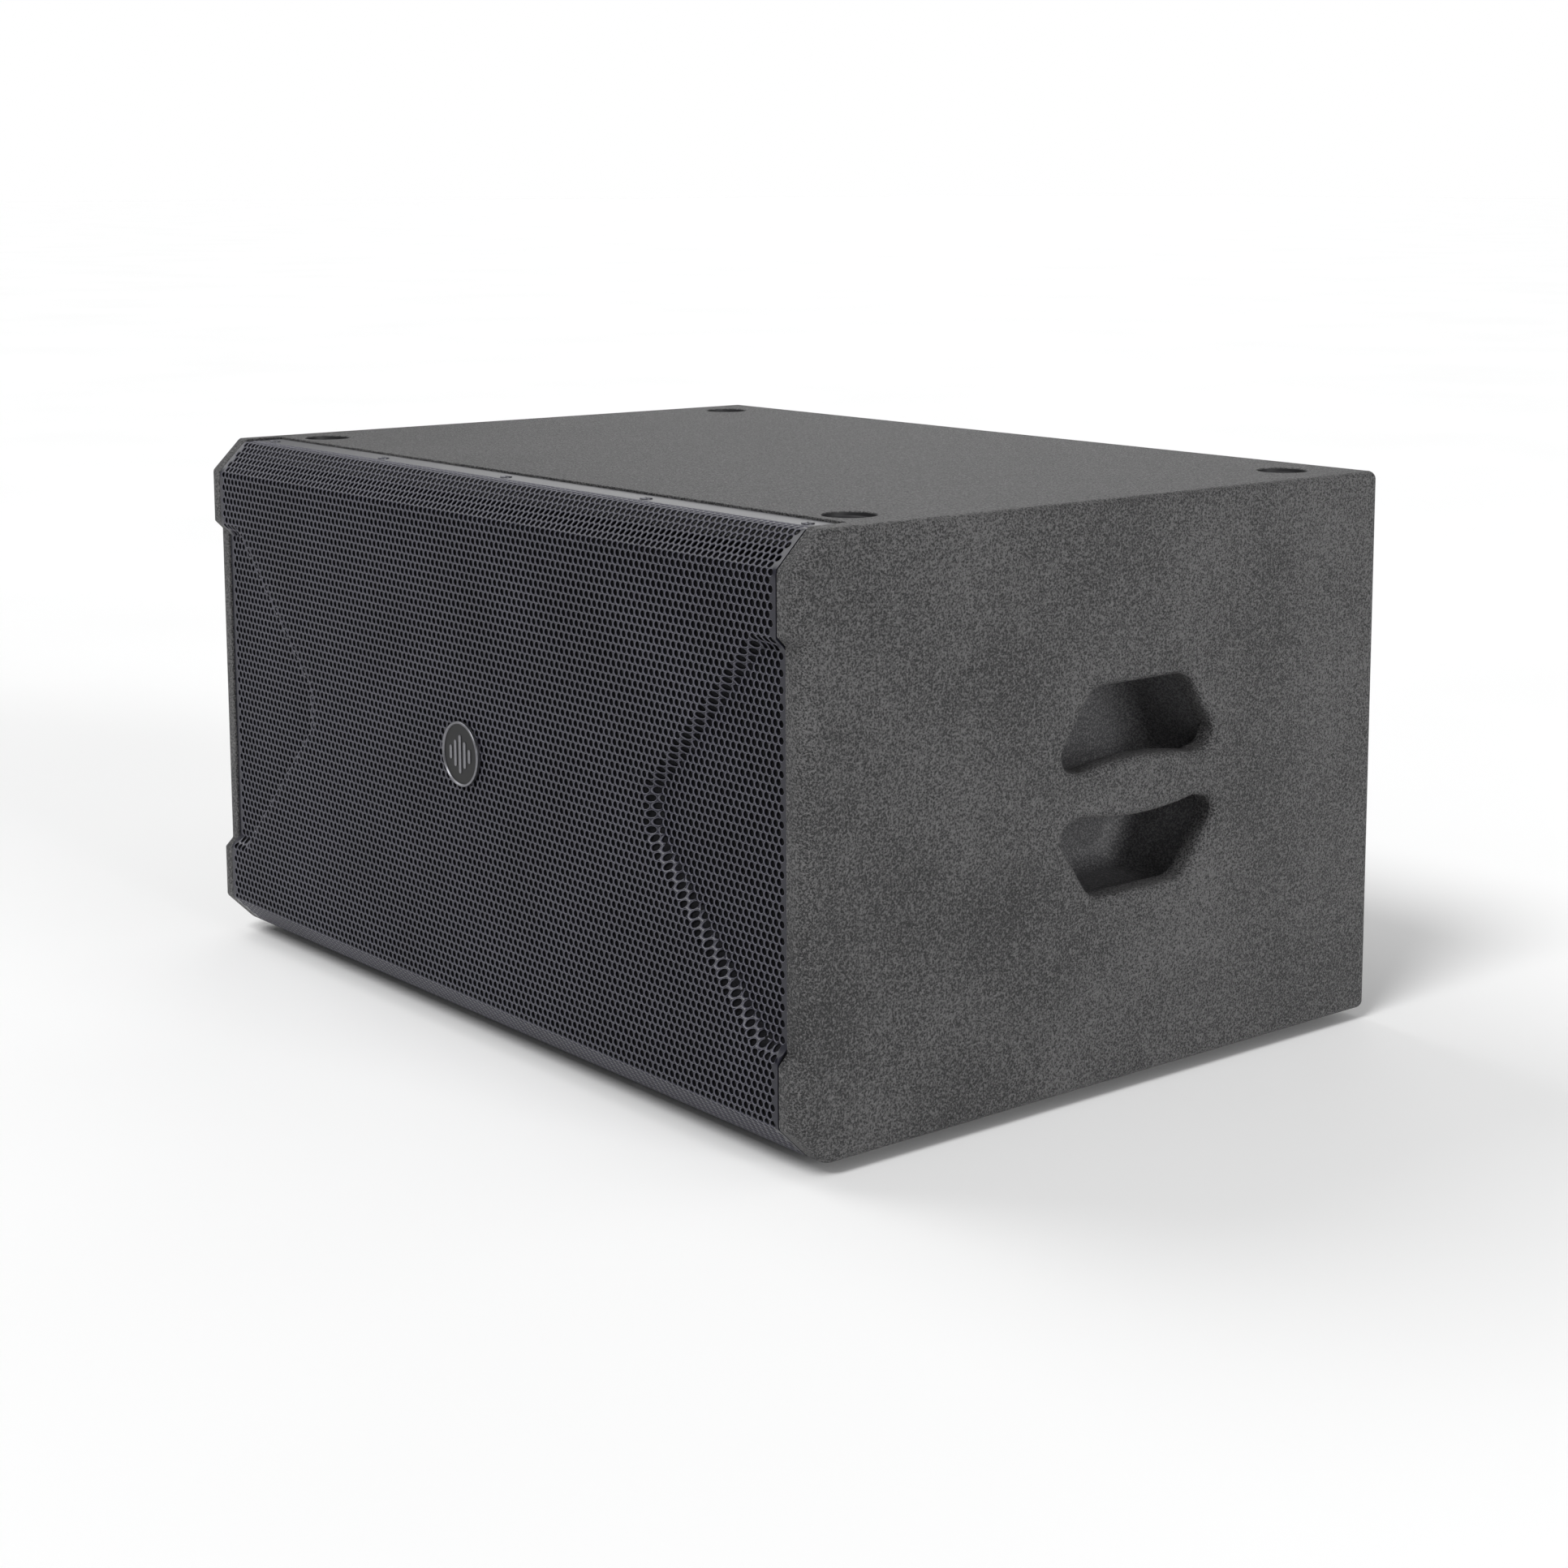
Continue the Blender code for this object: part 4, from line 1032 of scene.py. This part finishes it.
def make_foam_sheet():
    """The soft sheet behind the grille, following its folds, with a slightly uneven face."""
    low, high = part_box("grille_foam")
    near, far, uneven, waves = 0.0018, 0.0076, 0.0006, 70
    spacing, end_step = 0.006, 0.0005
    end = SECTION_END
    while along_section(end)[1] > high.z:
        end -= end_step
    across = int(2 * high.x / spacing)
    along = int(2 * end / spacing)
    maker = Maker()
    grids = []
    for depth, swell in ((near, uneven), (far, 0.0)):
        grid = []
        for i in range(along + 1):
            s = -end + 2 * end * i / along
            xs = np.array([-high.x + 2 * high.x * j / across for j in range(across + 1)])
            rise = [0.5 + noise.noise(Vector((x * waves, s * waves, 3.0))) for x in xs]
            depths = np.maximum(depth + swell * np.array(rise), depth)
            grid.append(maker.loop(map(tuple, on_grille(xs, np.full_like(xs, s), depths))))
        maker.skin(grid, closed=False)
        grids.append(grid)
    front, back = grids
    maker.skin([front[0], back[0]], closed=False)
    maker.skin([front[-1], back[-1]], closed=False)
    for j in (0, -1):
        maker.skin([[row[j] for row in front], [row[j] for row in back]], closed=False)
    piece = maker.make("foam_sheet", "cabinet", [FOAM], SMOOTH_FOAM, weighted=False)
    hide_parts("grille_foam")


make_foam_sheet()


# ---------------------------------------------------------------- badge and screws


BADGE_STEPS = 96
BADGE_ROUND = 0.0009
BADGE_SUNK = 0.0010
BAR_HALVES = (0.0050, 0.0095, 0.0138, 0.0095, 0.0050)
BAR_HALF_W = 0.0015
BAR_STEP = 0.0060


def make_badge():
    """A turned badge with a bright rim, and five upright bars as its mark."""
    low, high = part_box("badge")
    radius, rise = (high.x - low.x) / 2, high.y - low.y
    at = Matrix.Translation(((low.x + high.x) / 2, high.y, (low.z + high.z) / 2)) @ TO_FRONT
    face = rise - BADGE_SUNK
    profile = [(0.0, 0.0), (radius - 0.0002, 0.0), (radius, 0.0002)]
    profile.append((radius, rise - BADGE_ROUND, 1))
    for inset, drop in quarter(5, 1):
        profile.append((radius - BADGE_ROUND * inset, rise - BADGE_ROUND * drop, 1))
    profile += [(radius - 0.0013, rise, 1), (radius - 0.0016, rise - 0.0002, 1)]
    profile += [(radius - 0.0020, face, 1), (0.0, face, 0)]
    disc = Maker(at)
    disc.lathe(profile, BADGE_STEPS)
    badge = disc.make("badge_disc", "cabinet", [BADGE_FACE, BADGE_METAL])
    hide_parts("badge")
    marks = Maker(at)
    for i, half in enumerate(BAR_HALVES):
        outline = rectangle(BAR_HALF_W, half, BAR_HALF_W - 0.0001, 5, ((i - 2) * BAR_STEP, 0))
        marks.prism(outline, face - 0.0002, face + 0.0005, 0.0002, 0, 2)
    marks.make("badge_bars", "cabinet", [BADGE_METAL])


make_badge()


FLANGE_SCREWS = 5
FLANGE_SCREW_R = 0.0042
FLANGE_SCREW_RISE = 0.0010


def cross_recess(r, w):
    """A plus-shaped outline that reaches r, with arms of half width w."""
    return [
        (w, -r), (w, -w), (r, -w), (r, w), (w, w), (w, r),
        (-w, r), (-w, w), (-r, w), (-r, -w), (-w, -w), (-w, -r),
    ]


def add_screw_head(maker, radius, height):
    """A low round head with a cross recess, standing on the maker's own XY plane."""
    profile = [(radius, 0.0), (radius, height * 0.25)]
    for inset, drop in quarter(5, 1):
        profile.append((radius - radius * 0.32 * inset, height * (1 - 0.75 * drop)))
    loops = [maker.loop((a, b, h) for a, b in circle(r, 32)) for r, h in profile]
    maker.skin(loops)
    maker.cap([loops[0]])
    cross = cross_recess(radius * 0.50, radius * 0.13)
    mouth = maker.loop((a, b, height) for a, b in cross)
    bottom = maker.loop((a * 0.8, b * 0.8, height * 0.15) for a, b in cross)
    maker.cap([loops[-1], mouth])
    maker.skin([mouth, bottom])
    maker.cap([bottom])


for level, way, label in ((TOP - FLANGE_DROP, UP, "top"), (BASE + FLANGE_DROP, DOWN, "bottom")):
    for i in range(FLANGE_SCREWS):
        node = f"grille_screw_{label}_{i + 1}"
        low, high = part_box(node)
        spot = Matrix.Translation(((low.x + high.x) / 2, (low.y + high.y) / 2, level))
        maker = Maker(spot @ way @ Matrix.Rotation(0.5 + 1.3 * i, 4, "Z"))
        add_screw_head(maker, FLANGE_SCREW_R, FLANGE_SCREW_RISE)
        screw = maker.make(f"flange_screw_{label}_{i + 1}", "cabinet", [SCREW_METAL])
        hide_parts(node)


# ---------------------------------------------------------------- rear

amp_low, amp_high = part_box("amp_plate")
AMP_FACE = amp_high.y
CLEAR = 0.00005
PLATE_SCREW_EDGE = 0.0065
PLATE_SCREW_R = 0.0035
PLATE_SCREW_RISE = 0.0016
KNOB_STEPS = 96
FLUTES = 24
FLUTE_DEPTH = 0.00035
TICKS = 11
TICK_START = 0.0118
DIAL_HALF_TURN = 150

softened("amp_plate", "amp_plate_painted", "cabinet", PLATE, 0.0005)
softened("heatsink", "heatsink_fins", "cabinet", ANODISED, 0.0004)
softened("mains_inlet", "mains_inlet_moulded", "cabinet", PLASTIC, 0.0004)
for node, width in (("power_rocker", 0.0004), ("polarity_button", 0.0003)):
    softened(node, node + "_moulded", node, PLASTIC, width)
for side in "ab":
    softened(f"xlr_input_{side}", f"xlr_socket_{side}", "cabinet", PLASTIC, 0.0003)
    softened(f"xlr_output_{side}", f"xlr_plug_{side}", "cabinet", PLASTIC, 0.0003)
    softened(f"latch_tab_{side}", f"latch_{side}_metal", f"latch_tab_{side}", ZINC, 0.0002)


def make_plate_screws():
    """Eight screws round the amplifier plate."""
    maker = Maker()
    left, right = amp_low.x + PLATE_SCREW_EDGE, amp_high.x - PLATE_SCREW_EDGE
    low, high = amp_low.z + PLATE_SCREW_EDGE, amp_high.z - PLATE_SCREW_EDGE
    spots = [(x, z) for x in (left, 0.0, right) for z in (low, high)]
    spots += [(x, MID_Z) for x in (left, right)]
    for i, (x, z) in enumerate(spots):
        place = Matrix.Translation((x, AMP_FACE + CLEAR, z))
        maker.at = place @ TO_REAR @ Matrix.Rotation(0.7 * i, 4, "Z")
        add_screw_head(maker, PLATE_SCREW_R, PLATE_SCREW_RISE)
    maker.make("amp_plate_screws", "cabinet", [ANODISED])


make_plate_screws()


def make_knob(node):
    """A fluted control knob with a white pointer; returns its place on the plate."""
    low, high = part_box(node)
    x, z = (low.x + high.x) / 2, (low.z + high.z) / 2
    maker = Maker(Matrix.Translation((x, AMP_FACE, z)) @ TO_REAR)
    # Radius, height and share of the full flute depth
    profile = [(0.0030, -0.0120, 0), (0.0030, 0.0008, 0), (0.0090, 0.0008, 0), (0.0090, 0.0016, 0)]
    profile += [(0.0082, 0.0026, 0), (0.0079, 0.0034, 1), (0.0076, 0.0085, 1), (0.0073, 0.0128, 1)]
    profile += [(0.0071, 0.0134, 0.3), (0.0066, 0.0139, 0), (0.0060, 0.0140, 0)]
    profile.append((0.0054, 0.0137, 0))
    loops = []
    for radius, height, fluted in profile:
        ring = []
        for i in range(KNOB_STEPS):
            angle = 2 * pi * i / KNOB_STEPS
            r = radius - fluted * FLUTE_DEPTH * (0.5 - 0.5 * cos(FLUTES * angle))
            ring.append((r * cos(angle), r * sin(angle), height))
        loops.append(maker.loop(ring))
    maker.skin(loops)
    maker.cap([loops[0]])
    maker.cap([loops[-1]])
    pointer = rectangle(0.00055, 0.0026, 0.0004, 3, (0, 0.0040))
    maker.prism(pointer, 0.0134, 0.01395, 0.0001, 1, 2)
    knob = maker.make(node + "_fluted", node, [PLASTIC, MARK])
    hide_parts(node)
    return x, z


def make_dial_marks(spots):
    """Printed ticks round each knob, from its lowest to its highest setting."""
    maker = Maker()
    for x, z in spots:
        for i in range(TICKS):
            turn = radians(-DIAL_HALF_TURN + 2 * DIAL_HALF_TURN * i / (TICKS - 1))
            place = Matrix.Translation((x, AMP_FACE, z))
            maker.at = place @ TO_REAR @ Matrix.Rotation(-turn, 4, "Z")
            half_w, half = (0.00035, 0.0014) if i % 5 == 0 else (0.00025, 0.0008)
            outline = rectangle(half_w, half, 0.0002, 2, (0, TICK_START + half))
            maker.prism(outline, -0.0001, 0.00008)
    maker.make("dial_marks", "cabinet", [MARK], weighted=False)


make_dial_marks([make_knob("level_knob"), make_knob("crossover_knob")])


# ---------------------------------------------------------------- CAD nodes that stay as they are

KEPT = {
    "rear_panel": COAT,
    "baffle": PANEL_PAINT,
    "centre_brace": WOOD,
    "port_upper": PLASTIC,
    "port_lower": PLASTIC,
    "amp_board": BOARD,
}
DRIVER = {
    "basket": BASKET_PAINT,
    "top_plate": ZINC,
    "magnet": FERRITE,
    "back_plate": ZINC,
    "voice_coil": COPPER,
    "spider": SPIDER_CLOTH,
    "cone": PAPER,
    "dust_cap": PAPER,
    "surround": BLACK_CLOTH,
}
for part, material in DRIVER.items():
    for side in ("left", "right"):
        KEPT[f"{part}_{side}"] = material
for node, material in KEPT.items():
    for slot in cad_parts[node].material_slots:
        slot.material = material


# ---------------------------------------------------------------- floor, light and camera

SURROUND = 0.32
FRONT_FILL = 1.70
OVERHEAD = 1.00
RIGHT_KEY = 1.45
REAR_RIM = 0.21
FLOOR_HALF = 60.0


def make_floor():
    """A plain pale floor."""
    mesh = bpy.data.meshes.new("studio_floor")
    half = FLOOR_HALF
    corners = [(-half, -half, 0), (half, -half, 0), (half, half, 0), (-half, half, 0)]
    mesh.from_pydata(corners, [], [(0, 1, 2, 3)])
    recipe = Recipe("studio_floor_paint", specular=0.2)
    tone = recipe.noise(1.5, 2.0, 0.5)
    recipe.colour(tone, [(0.3, (0.93, 0.93, 0.93)), (0.7, (0.95, 0.95, 0.95))])
    recipe.rough(tone, 0.75, 0.85)
    mesh.materials.append(recipe.material)
    floor = bpy.data.objects.new("studio_floor", mesh)
    bpy.context.scene.collection.objects.link(floor)
    floor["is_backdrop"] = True


def soft_light(name, towards, spread, strength):
    """A broad distant light that comes from a direction."""
    light = bpy.data.lights.new(name, "SUN")
    light.energy = strength
    light.angle = radians(spread)
    obj = bpy.data.objects.new(name, light)
    bpy.context.scene.collection.objects.link(obj)
    obj.rotation_euler = (-Vector(towards)).to_track_quat("-Z", "Y").to_euler()


def make_studio():
    """A white surround that lights the object less than it shows, and four broad lights."""
    world = bpy.data.worlds.new("white_studio")
    world.use_nodes = True
    tree = world.node_tree
    background = tree.nodes["Background"]
    background.inputs["Color"].default_value = (1.0, 1.0, 1.0, 1.0)
    seen = tree.nodes.new("ShaderNodeLightPath")
    level = tree.nodes.new("ShaderNodeMapRange")
    level.inputs["To Min"].default_value = SURROUND
    level.inputs["To Max"].default_value = 1.0
    tree.links.new(seen.outputs["Is Camera Ray"], level.inputs["Value"])
    tree.links.new(level.outputs["Result"], background.inputs["Strength"])
    scene = bpy.context.scene
    scene.world = world
    scene.view_settings.view_transform = "Standard"
    soft_light("front_fill", (0.16, -0.60, 0.78), 20, FRONT_FILL)
    soft_light("overhead", (-0.70, -0.17, 0.68), 40, OVERHEAD)
    soft_light("right_key", (0.97, 0.10, 0.22), 25, RIGHT_KEY)
    soft_light("rear_rim", (-0.70, 0.65, 0.30), 30, REAR_RIM)


def make_camera():
    """The view from the front and the right, slightly above."""
    camera = bpy.data.cameras.new("camera")
    camera.sensor_width = 36.0
    camera.lens = 62.89
    camera.shift_x = -0.0487
    camera.shift_y = -0.1377
    obj = bpy.data.objects.new("camera", camera)
    bpy.context.scene.collection.objects.link(obj)
    obj.location = (1.6264, -1.2599, 0.6112)
    obj.rotation_euler = (radians(90 - 8.16), 0, radians(50.11))
    bpy.context.scene.camera = obj


make_floor()
make_studio()
make_camera()

low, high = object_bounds()
